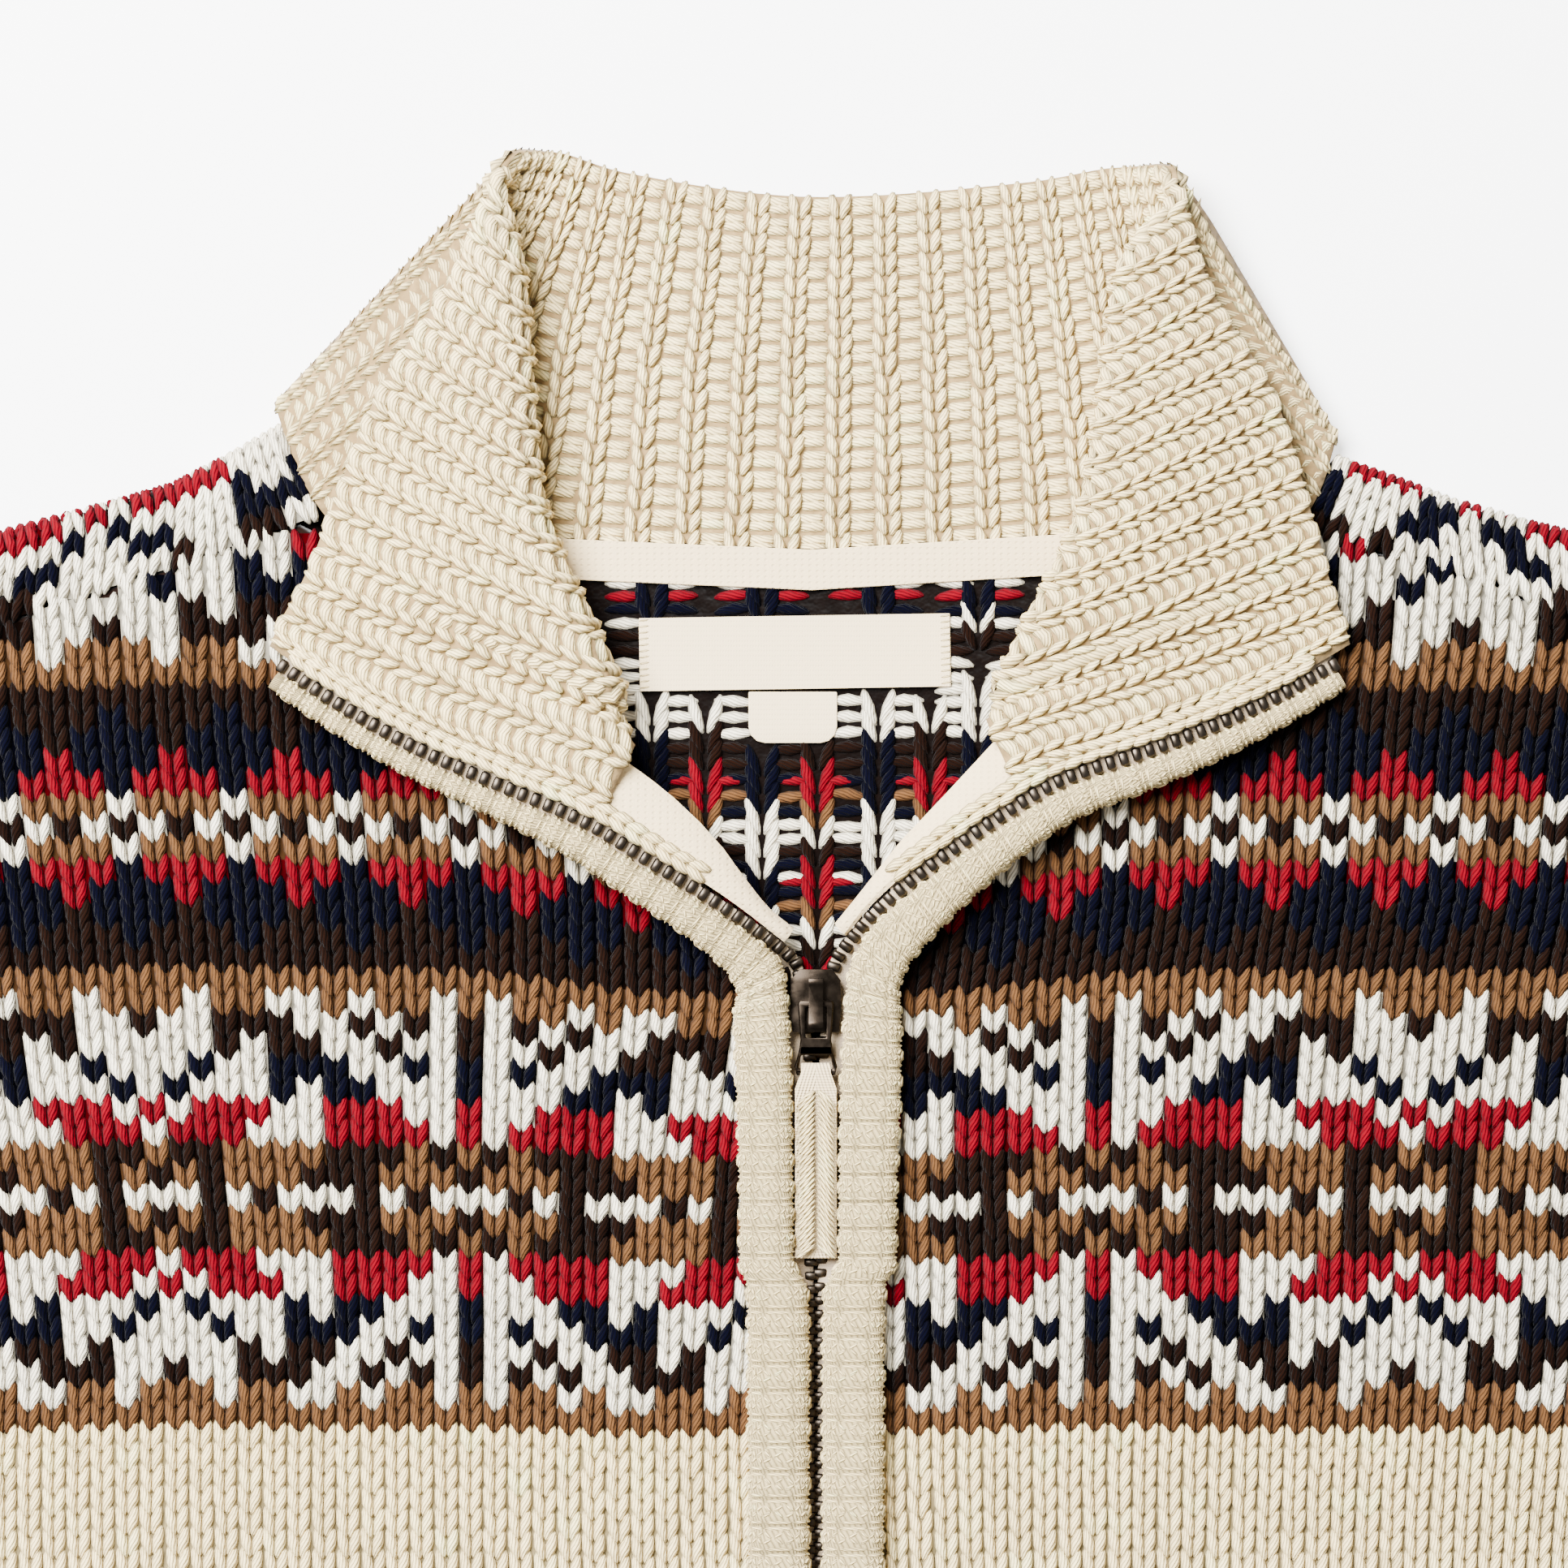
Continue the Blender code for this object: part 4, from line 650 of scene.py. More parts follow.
def yarn_material():
    """Cotton yarn: its colour comes with each stitch, its plies and fibres from the yarn's UV, darkened in
    the ply grooves as painted shade.
    """
    existing = bpy.data.materials.get("knitted_yarn")
    if existing:
        return existing
    yarns = settings()[0]
    material, nodes, links, shader = shade_material("knitted_yarn", tuple(yarns.cream), yarns.roughness,
                                                    sheen=0.02)
    plies = nodes.new("ShaderNodeGroup")
    plies.node_tree = ply_group()
    scaled_colour(nodes, links, stitch_colour(nodes), plies.outputs["Shade"], shader)
    links.new(plies.outputs["Normal"], shader.inputs["Normal"])
    return material


def skin_material():
    """Flat side of the knit: the V of each stitch as relief, from a UV that counts stitches, with painted
    shade where the relief lies low.
    """
    existing = bpy.data.materials.get("knitted_skin")
    if existing:
        return existing
    yarns = settings()[0]
    material, nodes, links, shader = shade_material("knitted_skin", tuple(yarns.cream), yarns.roughness,
                                                    sheen=0.02)
    uv = nodes.new("ShaderNodeUVMap")
    uv.uv_map = "yarn"
    split = nodes.new("ShaderNodeSeparateXYZ")
    links.new(uv.outputs[0], split.inputs[0])
    across = maths(nodes, links, "FRACT", split.outputs["X"])
    middle = maths(nodes, links, "ABSOLUTE", maths(nodes, links, "SUBTRACT", across, 0.5))
    lean = maths(nodes, links, "MULTIPLY_ADD", middle, -0.9, split.outputs["Y"])
    waves = []
    for value, rate in ((lean, math.pi), (middle, 2 * math.pi)):
        wave = maths(nodes, links, "SINE", maths(nodes, links, "MULTIPLY", value, rate))
        waves.append(maths(nodes, links, "ABSOLUTE", wave))
    along, leg = waves
    height = maths(nodes, links, "MULTIPLY", maths(nodes, links, "POWER", along, 0.5), leg)
    relief(nodes, links, height, 0.8, shader)
    # Painted shade: the colour is darker where the relief lies low
    shade = maths(nodes, links, "MULTIPLY_ADD", height, 0.5, 0.55)
    scaled_colour(nodes, links, stitch_colour(nodes), shade, shader)
    return material


def ground_material(name, low, high, level):
    """Knit under the stitches, one yarn below a level across the garment and another above it, dimmed as
    painted shade under the stitches, with random tone from noise.
    """
    yarns = settings()[0]
    material, nodes, links, shader = shade_material(name, low, yarns.roughness, sheen=0.1)
    place, noise = object_noise(nodes, links, 420.0)
    split = nodes.new("ShaderNodeSeparateXYZ")
    links.new(place, split.inputs[0])
    above = maths(nodes, links, "GREATER_THAN", split.outputs["Y"], level * MM)
    colour = nodes.new("ShaderNodeMix")
    colour.data_type = "RGBA"
    colour.inputs["A"].default_value = (*low, 1.0)
    colour.inputs["B"].default_value = (*high, 1.0)
    links.new(above, colour.inputs["Factor"])
    # Painted shade: the colour is dimmed overall, with random tone from the noise
    shade = maths(nodes, links, "MULTIPLY_ADD", noise, 0.7, 0.35)
    scaled_colour(nodes, links, colour.outputs["Result"], shade, shader)
    relief(nodes, links, noise, 0.5, shader)
    return material


def cloth_material(name, colour, across, along, depth, lean=0.0):
    """Fine woven or jersey tape: threads across and along it at the given pitches, in millimetres.

    With a lean, the threads slant both ways from the tape's middle line, as in a herringbone twill.
    """
    yarns = settings()[0]
    material, nodes, links, shader = shade_material(name, tuple(colour), yarns.roughness, sheen=0.15)
    place, noise = object_noise(nodes, links, 900.0, 3.0)
    split = nodes.new("ShaderNodeSeparateXYZ")
    links.new(place, split.inputs[0])
    x, y = split.outputs["X"], split.outputs["Y"]
    if lean:
        x = maths(nodes, links, "MULTIPLY_ADD", y, lean, maths(nodes, links, "ABSOLUTE", x))
    first = maths(nodes, links, "SINE", maths(nodes, links, "MULTIPLY", x, 2 * math.pi / (across * MM)))
    second = maths(nodes, links, "SINE", maths(nodes, links, "MULTIPLY", y, 2 * math.pi / (along * MM)))
    if lean:
        weave = maths(nodes, links, "ADD", first, maths(nodes, links, "MULTIPLY", second, 0.5))
    else:
        dimple = maths(nodes, links, "MULTIPLY", maths(nodes, links, "MAXIMUM", first, 0.0),
                       maths(nodes, links, "MAXIMUM", second, 0.0))
        weave = maths(nodes, links, "SUBTRACT", 1.0, dimple)
    height = maths(nodes, links, "MULTIPLY_ADD", noise, 1.2, weave)
    relief(nodes, links, height, depth, shader)
    # Painted shade: the colour is a little darker where the weave lies low, with random tone from the noise
    shade = maths(nodes, links, "MULTIPLY_ADD", height, 0.035, 0.95)
    scaled_colour(nodes, links, tuple(colour), shade, shader)
    return material


def metal_material(name, colour, roughness):
    """Antique metal, unevenly worn: lighter and smoother where it is rubbed."""
    material, nodes, links, shader = shade_material(name, tuple(colour), roughness, metallic=1.0)
    _, noise = object_noise(nodes, links, 650.0, 4.0)
    shade = maths(nodes, links, "MULTIPLY_ADD", noise, 0.7, 0.65)
    scaled_colour(nodes, links, tuple(colour), shade, shader)
    wear = maths(nodes, links, "MULTIPLY_ADD", noise, 0.3, roughness - 0.15)
    links.new(wear, shader.inputs["Roughness"])
    relief(nodes, links, noise, 0.015, shader)
    return material


class Pile:
    """Gathers equal patches of points and makes one mesh of them."""

    def __init__(self):
        self.points, self.faces, self.spots, self.colours = [], [], [], []
        self.total = 0

    def add(self, points, faces, spots, colours, shades=None):
        """Adds patches: points and UV spots per patch and vertex, faces and colours per patch. Shades per
        vertex darken the colours: painted shade.
        """
        count, size = points.shape[:2]
        if not count:
            return
        start = self.total + np.arange(count)[:, None, None] * size
        self.points.append(points.reshape(-1, 3))
        self.faces.append((start + faces[None]).reshape(-1, faces.shape[1]))
        self.spots.append(spots.reshape(-1, 2))
        colours = np.repeat(colours, size, axis=0)
        self.colours.append(colours if shades is None else colours * shades.reshape(-1, 1))
        self.total += count * size

    def object(self, name, material, slot_name="cream_knit", body=GARMENT):
        points = np.concatenate(self.points) * MM
        points[:, 2] = np.maximum(points[:, 2], FLOOR_CLEAR * MM)
        faces = np.concatenate(self.faces)
        mesh = bpy.data.meshes.new(name)
        mesh.vertices.add(len(points))
        mesh.vertices.foreach_set("co", points.astype(np.float32).ravel())
        corners = faces.shape[1]
        mesh.loops.add(faces.size)
        mesh.loops.foreach_set("vertex_index", faces.astype(np.int32).ravel())
        mesh.polygons.add(len(faces))
        mesh.polygons.foreach_set("loop_start", np.arange(0, faces.size, corners, dtype=np.int32))
        mesh.update(calc_edges=True)
        spots = mesh.uv_layers.new(name="yarn")
        spots.data.foreach_set("uv", np.concatenate(self.spots)[faces.ravel()].astype(np.float32).ravel())
        colours = mesh.color_attributes.new("yarn_colour", "FLOAT_COLOR", "POINT")
        rgb = np.concatenate(self.colours)
        rgba = np.concatenate([rgb, np.ones((len(rgb), 1))], axis=1)
        colours.data.foreach_set("color", rgba.astype(np.float32).ravel())
        mesh.shade_smooth()
        mesh.materials.append(material)
        return place_object(name, mesh, body)


def place_object(name, mesh, body=GARMENT):
    piece = bpy.data.objects.new(name, mesh)
    bpy.context.scene.collection.objects.link(piece)
    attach(piece, body)
    return piece


def node_mesh(node):
    """A node's mesh as a bmesh, with its doubled points joined."""
    build = bmesh.new()
    build.from_mesh(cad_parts[node].data)
    bmesh.ops.remove_doubles(build, verts=build.verts, dist=WELD)
    bmesh.ops.recalc_face_normals(build, faces=build.faces)
    return build


def piece_from(build, name, material, sharp=None, body=GARMENT):
    """A smooth piece made of a bmesh, with edges sharper than the given degrees kept sharp."""
    mesh = bpy.data.meshes.new(name)
    build.to_mesh(mesh)
    build.free()
    mesh.shade_smooth()
    if sharp:
        mesh.set_sharp_from_angle(angle=math.radians(sharp))
    mesh.materials.append(material)
    return place_object(name, mesh, body)


def grid_faces(around, along):
    """Quads of a patch whose vertices run around first, then along."""
    corner = (np.arange(along - 1)[:, None] * around + np.arange(around - 1)[None]).ravel()
    return np.stack([corner, corner + around, corner + around + 1, corner + 1], axis=1)


def unit(vectors):
    return vectors / np.maximum(np.linalg.norm(vectors, axis=-1, keepdims=True), 1e-9)


def grains(pile, surface, paths, half, rise, colours, detail=FINE, lift=0.0, seed=SEED, taper=END_WIDTH):
    """Lays plump lengths of yarn on a surface.

    paths holds three guide points, as (column, row), for each length. half is half its width and rise
    its height over the surface, in millimetres. LEAF makes the plainest length, of five points.
    """
    around, along = COARSE if detail == LEAF else detail
    count = len(paths)
    if not count:
        return
    half, rise = np.broadcast_to(half, count), np.broadcast_to(rise, count)
    share = (1 - np.cos(np.linspace(0, math.pi, along))) / 2
    turn = np.linspace(-math.pi / 2, math.pi / 2, around)
    t = share[None, :, None]
    line = (1 - t) ** 2 * paths[:, :1] + 2 * t * (1 - t) * paths[:, 1:2] + t**2 * paths[:, 2:]
    centre, normal = surface(line[..., 0], line[..., 1])
    ahead = unit(np.gradient(centre, axis=1))
    across = unit(np.cross(normal, ahead))
    fullness = np.sqrt(np.clip(1 - np.abs(2 * share - 1) ** 3, 0, 1))
    width = half[:, None] * (taper + (1 - taper) * (1 - np.abs(2 * share - 1) ** 2.2))
    height = rise[:, None] * fullness
    points = (centre[:, :, None] + across[:, :, None] * (width[..., None] * np.sin(turn))[..., None]
              + normal[:, :, None] * (height[..., None] * np.cos(turn) + lift)[..., None])
    lengths = np.linalg.norm(np.diff(centre, axis=1), axis=2)
    run = np.concatenate([np.zeros((count, 1)), np.cumsum(lengths, axis=1)], axis=1)
    offset = np.random.default_rng(seed).uniform(0, 40, (count, 1, 1))
    girth = np.broadcast_to(half[:, None, None] * turn * 0.8, (count, along, around))
    spots = np.stack([girth, np.broadcast_to(run[:, :, None] + offset, girth.shape)], axis=-1)
    # Painted shade: the colour darkens toward the length's sides and its ends
    edge = 1 - EDGE_SHADE * np.abs(np.sin(turn)) ** 3
    shades = np.broadcast_to((END_SHADE + (1 - END_SHADE) * fullness)[:, None] * edge, (count, along, around))
    parts = [part.reshape(count, around * along, -1) for part in (points, spots, shades)]
    faces = grid_faces(around, along)
    if detail == LEAF:
        parts = [part[:, LEAF_POINTS] for part in parts]
        parts[2] = parts[2] ** LEAF_SHADE
        faces = LEAF_FACES
    points, spots, shades = parts
    pile.add(points, faces, spots, colours, shades)


def leg_paths(columns, rows, width=1.0, length=LEG_LENGTH, wobble=None, reach=(LEG_HEAD, LEG_FOOT)):
    """Guide points of both legs of each V, heads first; the V points down its rows."""
    paths = []
    for side in (-1, 1):
        head = columns + side * reach[0] * width
        foot = columns + side * reach[1] * width
        middle = columns + side * sum(reach) / 2 * width * 1.12
        start = rows + 0.5 - length / 2 + LEG_LOW
        path = np.stack([np.stack([head, start], -1), np.stack([middle, start + length / 2], -1),
                         np.stack([foot, start + length], -1)], axis=1)
        paths.append(path if wobble is None else path + wobble)
    return np.concatenate(paths)


def stitch_wobble(count, seed, amount=0.022):
    """Small uneven shifts that both legs of a stitch share."""
    return np.random.default_rng(seed).normal(0, amount, (count, 1, 2))


def varied(colours, seed):
    """Each stitch a little lighter or darker than its yarn."""
    amount = settings()[0].variation
    light = np.random.default_rng(seed).normal(1.0, amount, (len(colours), 1))
    return np.clip(colours * np.clip(light, 0.75, 1.2), 0, 1)


def knit_legs(pile, surface, columns, rows, colours, pitch, detail, seed=SEED, rise=None, width=1.0):
    rise = in_mm(settings()[1].rise) if rise is None else rise
    wobble = stitch_wobble(len(columns), seed)
    colours = varied(colours, seed)
    grains(pile, surface, leg_paths(columns, rows, width, wobble=wobble), LEG_HALF * pitch * width, rise,
           np.concatenate([colours, colours]), detail, seed=seed)


def cream_yarn(count, seed):
    """Cream for each of a number of stitches, a little uneven."""
    return varied(np.repeat(yarn_colours()[:1], count, axis=0), seed)


def cross_paths(places, reach, before, middle, after):
    """Guide points of stitches that lie across their column."""
    return np.stack([np.stack([places - reach, before], -1), np.stack([places, middle], -1),
                     np.stack([places + reach, after], -1)], axis=1)


def knit_ground(pile, surface, columns, rows, colours, shade=None):
    """One quad under each stitch, its yarn times a shade: by default painted shade between the stitches. Its
    UV counts columns and rows.
    """
    shade = settings()[1].shade if shade is None else shade
    corners = np.array([(-0.5, 0.0), (-0.5, 1.0), (0.5, 1.0), (0.5, 0.0)])
    places = np.stack([columns, rows], -1)[:, None].astype(float) + corners
    points, normals = surface(places[..., 0], places[..., 1])
    if not len(points):
        return
    turn = np.cross(points[:, 1] - points[:, 0], points[:, 3] - points[:, 0])
    order = [0, 1, 2, 3] if (turn * normals[:, 0]).sum() > 0 else [3, 2, 1, 0]
    pile.add(points, np.array([order]), places + (0.5, 0.0), colours * shade)


def cells(column_span, row_span):
    columns, rows = np.meshgrid(np.arange(*column_span), np.arange(*row_span), indexing="ij")
    return columns.ravel(), rows.ravel()


def over_node(node, points, upward=False):
    """Whether a node lies under each point, or over it."""
    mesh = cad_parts[node].data
    tree = BVHTree.FromPolygons([vertex.co for vertex in mesh.vertices],
                                [tuple(polygon.vertices) for polygon in mesh.polygons])
    way = Vector((0, 0, 1 if upward else -1))
    height = -1.0 if upward else 1.0
    return np.array([tree.ray_cast(Vector((x * MM, y * MM, height)), way)[0] is not None
                     for x, y in points[:, :2]])


def row_height(row):
    plain = np.maximum(row - STAR_HEIGHT, 0)
    return STAR_TOP_Y - ROW_PITCH * (row - plain) - PLAIN_ROW_PITCH * plain


def smooth_share(value):
    value = np.clip(value, 0, 1)
    return value * value * (3 - 2 * value)


def column_table(table, names):
    rows = np.array(table)
    return {name: rows[:, index] for index, name in enumerate(names)}


def column_line(side, level):
    """Where the bars' column of one half lies at a level, and how wide a stitch is there."""
    guide = column_table(COLUMN_GUIDE, GUIDE_COLUMNS)
    name = side_name(side)
    return [np.interp(level, guide["y"], guide[f"{name}_{part}"]) for part in ("x", "pitch")]


def facing(points, way=1.0):
    """A normal straight up for each point, or straight down."""
    normals = np.zeros_like(points)
    normals[..., 2] = way
    return normals


def body_surface(side, top=True):
    """The front's upper face, or the back's under face, by knitted column and row."""
    radius = FOLD_OUTER - (GROUND_DROP if top else SKIN_Z)
    dip_y, dip_depth = np.array(DIP).T
    side_y, side_x = np.array(SIDE_EDGE).T

    def surface(column, row):
        level = row_height(row)
        centre, pitch = column_line(side, level)
        x = centre + (column - BAR_COLUMN) * pitch
        near = smooth_share((DIP_FROM_X - np.abs(x)) / (DIP_FROM_X - DIP_TO_X))
        y = level - np.interp(level, dip_y, dip_depth) * near * (1.0 if top else 0.0)
        x = x + 0.3 * np.sin(y / 31.0 + side) + 0.2 * np.sin(y / 11.0)
        y = y + 0.35 * np.sin(x / 23.0) + 0.2 * np.sin(x / 9.0 + 2.0)
        edge = np.interp(y, side_y, side_x) - FOLD_OUTER
        over = np.where(y < UNDERARM_Y, np.maximum(np.abs(x) - edge, 0), 0)
        angle = np.minimum(over / radius, math.pi / 2)
        folded = over > 0
        x = np.where(folded, np.sign(x) * (edge + radius * np.sin(angle)), x)
        drop = radius * (1 - np.cos(angle))
        z = FOLD_OUTER + (radius - drop) * (1 if top else -1)
        upward = np.cos(angle) * (1 if top else -1)
        points = np.stack([x, y, z], axis=-1)
        return points, np.stack([np.sign(x) * np.sin(angle), np.zeros_like(x), upward], axis=-1)

    def beyond(column, row):
        """How far round the side fold a stitch lies, as a share of the quarter turn."""
        level = row_height(row)
        centre, pitch = column_line(side, level)
        x = centre + (column - BAR_COLUMN) * pitch
        edge = np.interp(level, side_y, side_x) - FOLD_OUTER
        over = (np.abs(x) - edge) / (radius * math.pi / 2)
        return np.where(level < UNDERARM_Y, over, -1.0)

    return surface, beyond


def shell_from(node, name, material):
    """A thinner copy of a node's cloth, drawn in where stitches lie on it."""
    build = node_mesh(node)
    build.normal_update()
    moves = []
    for vertex in build.verts:
        faces_up = vertex.co.z > SHELL_FROM_Z * MM and vertex.normal.z > SHELL_FACING
        move = vertex.normal * (SHELL_DROP if faces_up else SHELL_UNDER_DROP)
        if faces_up and vertex.normal.z > SHELL_LEVEL:
            move.z = SHELL_DROP
        moves.append(move * MM)
    for vertex, move in zip(build.verts, moves):
        vertex.co -= move
    piece = piece_from(build, name, material, SHELL_SHARP)
    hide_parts(node)
    return piece


def in_camera(points):
    low_x, low_y, high_x, high_y = CAMERA_WINDOW
    x, y = points[:, 0], points[:, 1]
    return (x > low_x) & (x < high_x) & (y > low_y) & (y < high_y)


def lay_stitches(pile, surface, columns, rows, yarn, pitch, seed):
    """Stitches with their ground, finer where the camera sees them."""
    colours = yarn_colours()[yarn]
    centres, _ = surface(columns.astype(float), rows + 0.5)
    fine = in_camera(centres)
    # The ground quads under the stitches are painted shade
    knit_ground(pile, surface, columns, rows, colours)
    for chosen, detail, offset in ((fine, FINE, 0), (~fine, LEAF, 1)):
        knit_legs(pile, surface, columns[chosen], rows[chosen], colours[chosen], pitch, detail, seed + offset)


def front_stitches(side):
    """Stitches of one front in two pieces: the patterned yoke, and the plain body below it."""
    node = f"front_{side_name(side)}"
    surface, beyond = body_surface(side)
    columns, rows = cells(FRONT_COLUMNS[side], FRONT_ROWS)
    centres, _ = surface(columns.astype(float), rows + 0.5)
    turned = beyond(columns, rows + 0.5)
    kept = ((turned > 0) & (turned < 1.0) & (centres[:, 1] > HEM_TOP_Y)) | over_node(node, centres)
    kept &= (np.abs(centres[:, 0]) > BAND_COVER) | (centres[:, 1] > SLIDER_Y)
    pieces = []
    for label, part in (("yoke", rows < STAR_HEIGHT), ("body", rows >= STAR_HEIGHT)):
        chosen = kept & part
        pile = Pile()
        yarn = pattern_yarn(columns[chosen], rows[chosen])
        lay_stitches(pile, surface, columns[chosen], rows[chosen], yarn, 4.7, SEED + side)
        pieces.append(pile.object(f"{node}_{label}_stitches", yarn_material(), "yoke_knit"))
    return pieces


def shoulder_surface(side):
    """The strip of the back that comes forward over the shoulder, by column along the seam and row
    out from it."""
    seam, fold = np.array(WRAP_SEAM[side]), np.array(SHOULDER_FOLD[side])
    along = fold[-1] - fold[0]
    outward = np.array([-along[1], along[0]]) / np.linalg.norm(along)
    outward = outward if outward[1] > 0 else -outward
    steps = np.concatenate([[0], np.cumsum(np.linalg.norm(np.diff(seam, axis=0), axis=1))])
    radius = FOLD_OUTER - GROUND_DROP

    def surface(column, row):
        at = column * SHOULDER_PITCH
        start = np.stack([np.interp(at, steps, seam[:, k]) for k in (0, 1)], axis=-1)
        end = np.stack([np.interp(at, steps, fold[:, k]) for k in (0, 1)], axis=-1) - outward * FOLD_OUTER
        flat = np.linalg.norm(end - start, axis=-1)
        out = row * SHOULDER_ROW_PITCH
        share = np.minimum(out / flat, 1)[..., None]
        angle = np.clip((out - flat) / radius, 0, math.pi)
        spot = start + (end - start) * share + outward * (radius * np.sin(angle))[..., None]
        z = FOLD_OUTER + radius * np.cos(angle)
        points = np.concatenate([spot, z[..., None]], axis=-1)
        sideways = np.sin(angle)[..., None] * outward
        return points, np.concatenate([sideways, np.cos(angle)[..., None]], axis=-1)

    return surface, steps[-1] / SHOULDER_PITCH


def shoulder_stitches(side):
    surface, count = shoulder_surface(side)
    columns, rows = cells((0, int(count) + 1), (0, 6))
    centres, _ = surface(columns + 0.5, rows + 0.5)
    middle, pitch = column_line(side, centres[:, 1])
    nearest = np.round((centres[:, 0] - middle) / pitch).astype(int) + BAR_COLUMN
    yarn = pattern_yarn(nearest, rows + SHOULDER_FIRST_ROW - 1 + UPPER_STAR_ROW)
    pile = Pile()
    lay_stitches(pile, surface, columns + 0.5, rows - SEAM_LAP, yarn, SHOULDER_PITCH, SEED + 20 + side)
    return pile.object(f"shoulder_{side_name(side)}_stitches", yarn_material(), "yoke_knit")


def back_skin():
    """The flat under face of the back, a patch of colour and relief for each stitch."""
    pile = Pile()
    for side in (-1, 1):
        surface, beyond = body_surface(side, top=False)
        columns, rows = cells(FRONT_COLUMNS[side], FRONT_ROWS)
        if side > 0:
            columns, rows = cells((0, FRONT_COLUMNS[side][1]), FRONT_ROWS)
        centres, _ = surface(columns.astype(float), rows + 0.5)
        kept = centres[:, 0] * side > -2.2
        for across, down in ((-0.6, 0.0), (-0.6, 1.0), (0.6, 0.0), (0.6, 1.0)):
            kept &= over_node("back_panel", surface(columns + across, rows + down)[0])
        kept |= (beyond(columns, rows + 0.5) > 0) & (beyond(columns, rows + 0.5) < 1.0)
        kept &= centres[:, 1] > HEM_TOP_Y
        columns, rows = columns[kept], rows[kept]
        colours = varied(yarn_colours()[pattern_yarn(columns, rows)], SEED + side)
        knit_ground(pile, surface, columns, rows, colours, shade=SKIN_SHADE)
    return pile.object("back_under_skin", skin_material(), "yoke_knit")


def flat_surface(height, way=1.0):
    """A level surface whose column and row are millimetres across and along the garment."""
    def surface(column, row):
        points = np.stack([column, row, np.full_like(column, height)], axis=-1)
        return points, facing(points, way)
    return surface


def beside_labels(x, y):
    """Whether a spot is clear of both labels."""
    clear = np.ones(len(x), bool)
    for centre, size in ((LABEL_CENTRE, LABEL_SIZE), (SIZE_LABEL_CENTRE, SIZE_LABEL_SIZE)):
        near_x = np.abs(x - centre[0]) < size[0] / 2 + LABEL_MARGIN[0]
        near_y = np.abs(y - centre[1]) < size[1] / 2 + LABEL_MARGIN[1]
        clear &= ~(near_x & near_y)
    return clear


def inner_back():
    """Knots and floats of the pattern's inside, which the open neck shows."""
    surface = flat_surface(INNER_BACK_Z)
    pile = Pile()
    paths, yarns, halves, rises = [], [], [], []
    rng = np.random.default_rng(SEED)
    for x, kind in KNOT_COLUMNS:
        for form, letter, top, low in (RED_KNOTS if kind == "red" else NAVY_KNOTS):
            middle = (top + low) / 2
            for side in (-1, 1):
                if form == "v":
                    outs, levels = V_OUT, (min(top + V_OVER, KNOT_TOP), middle, low - V_UNDER)
                else:
                    outs, levels = HOOK_OUT, (middle, middle + HOOK_BOW, middle)
                paths.append([(x + side * out, level) for out, level in zip(outs, levels)])
                yarns.append(letter)
                halves.append(V_HALF if form == "v" else HOOK_HALF)
                rises.append(V_RISE if form == "v" else HOOK_RISE)
    places = np.array(sorted(x for x, _ in KNOT_COLUMNS))
    for x in places[:-1] + np.diff(places) / 2:
        for letter, y in FLOAT_ROWS:
            shift = rng.normal(0, FLOAT_SHIFT)
            paths.append(((x - FLOAT_REACH, y + shift), (x, y + rng.normal(*FLOAT_BOW)),
                          (x + FLOAT_REACH, y - shift)))
            yarns.append(letter)
            halves.append(FLOAT_HALF)
            rises.append(FLOAT_RISE)
    paths = np.array(paths, float)
    centres = paths[:, 1]
    clear = beside_labels(centres[:, 0], centres[:, 1]) & over_node("back_panel", centres)
    colours = varied(yarn_colours()[yarn_index(yarns)], SEED)
    grains(pile, surface, paths[clear], np.array(halves)[clear], np.array(rises)[clear], colours[clear])
    return pile.object("back_inner_knots", yarn_material(), "yoke_knit")


def monotone_curve(knots, values, at):
    """Shape-keeping cubic interpolation of rows of values, which never overshoots its knots."""
    knots, values, at = np.asarray(knots, float), np.asarray(values, float), np.asarray(at, float)
    gaps = np.diff(knots).reshape((-1,) + (1,) * (values.ndim - 1))
    slopes = np.diff(values, axis=0) / gaps
    before, after = slopes[:-1], slopes[1:]
    same_way = before * after > 0
    total = np.where(same_way, before + after, 1.0)
    inner = np.where(same_way, 2 * before * after / total, 0.0)
    tangents = np.concatenate([slopes[:1], inner, slopes[-1:]])
    span = np.clip(np.searchsorted(knots, at, side="right") - 1, 0, len(knots) - 2)
    shape = (-1,) + (1,) * (values.ndim - 1)
    width = gaps[span]
    t = ((at - knots[span]) / np.diff(knots)[span]).reshape(shape)
    return ((2 * t**3 - 3 * t**2 + 1) * values[span] + (t**3 - 2 * t**2 + t) * width * tangents[span]
            + (3 * t**2 - 2 * t**3) * values[span + 1] + (t**3 - t**2) * width * tangents[span + 1])


def net_normals(net):
    return unit(np.cross(np.gradient(net, axis=0), np.gradient(net, axis=1)))


def cell_of(place, count):
    """The whole step below a place on a line of points, and the share of a step beyond it."""
    low = np.clip(np.floor(place).astype(int), 0, count - 2)
    return low, (place - low)[..., None]


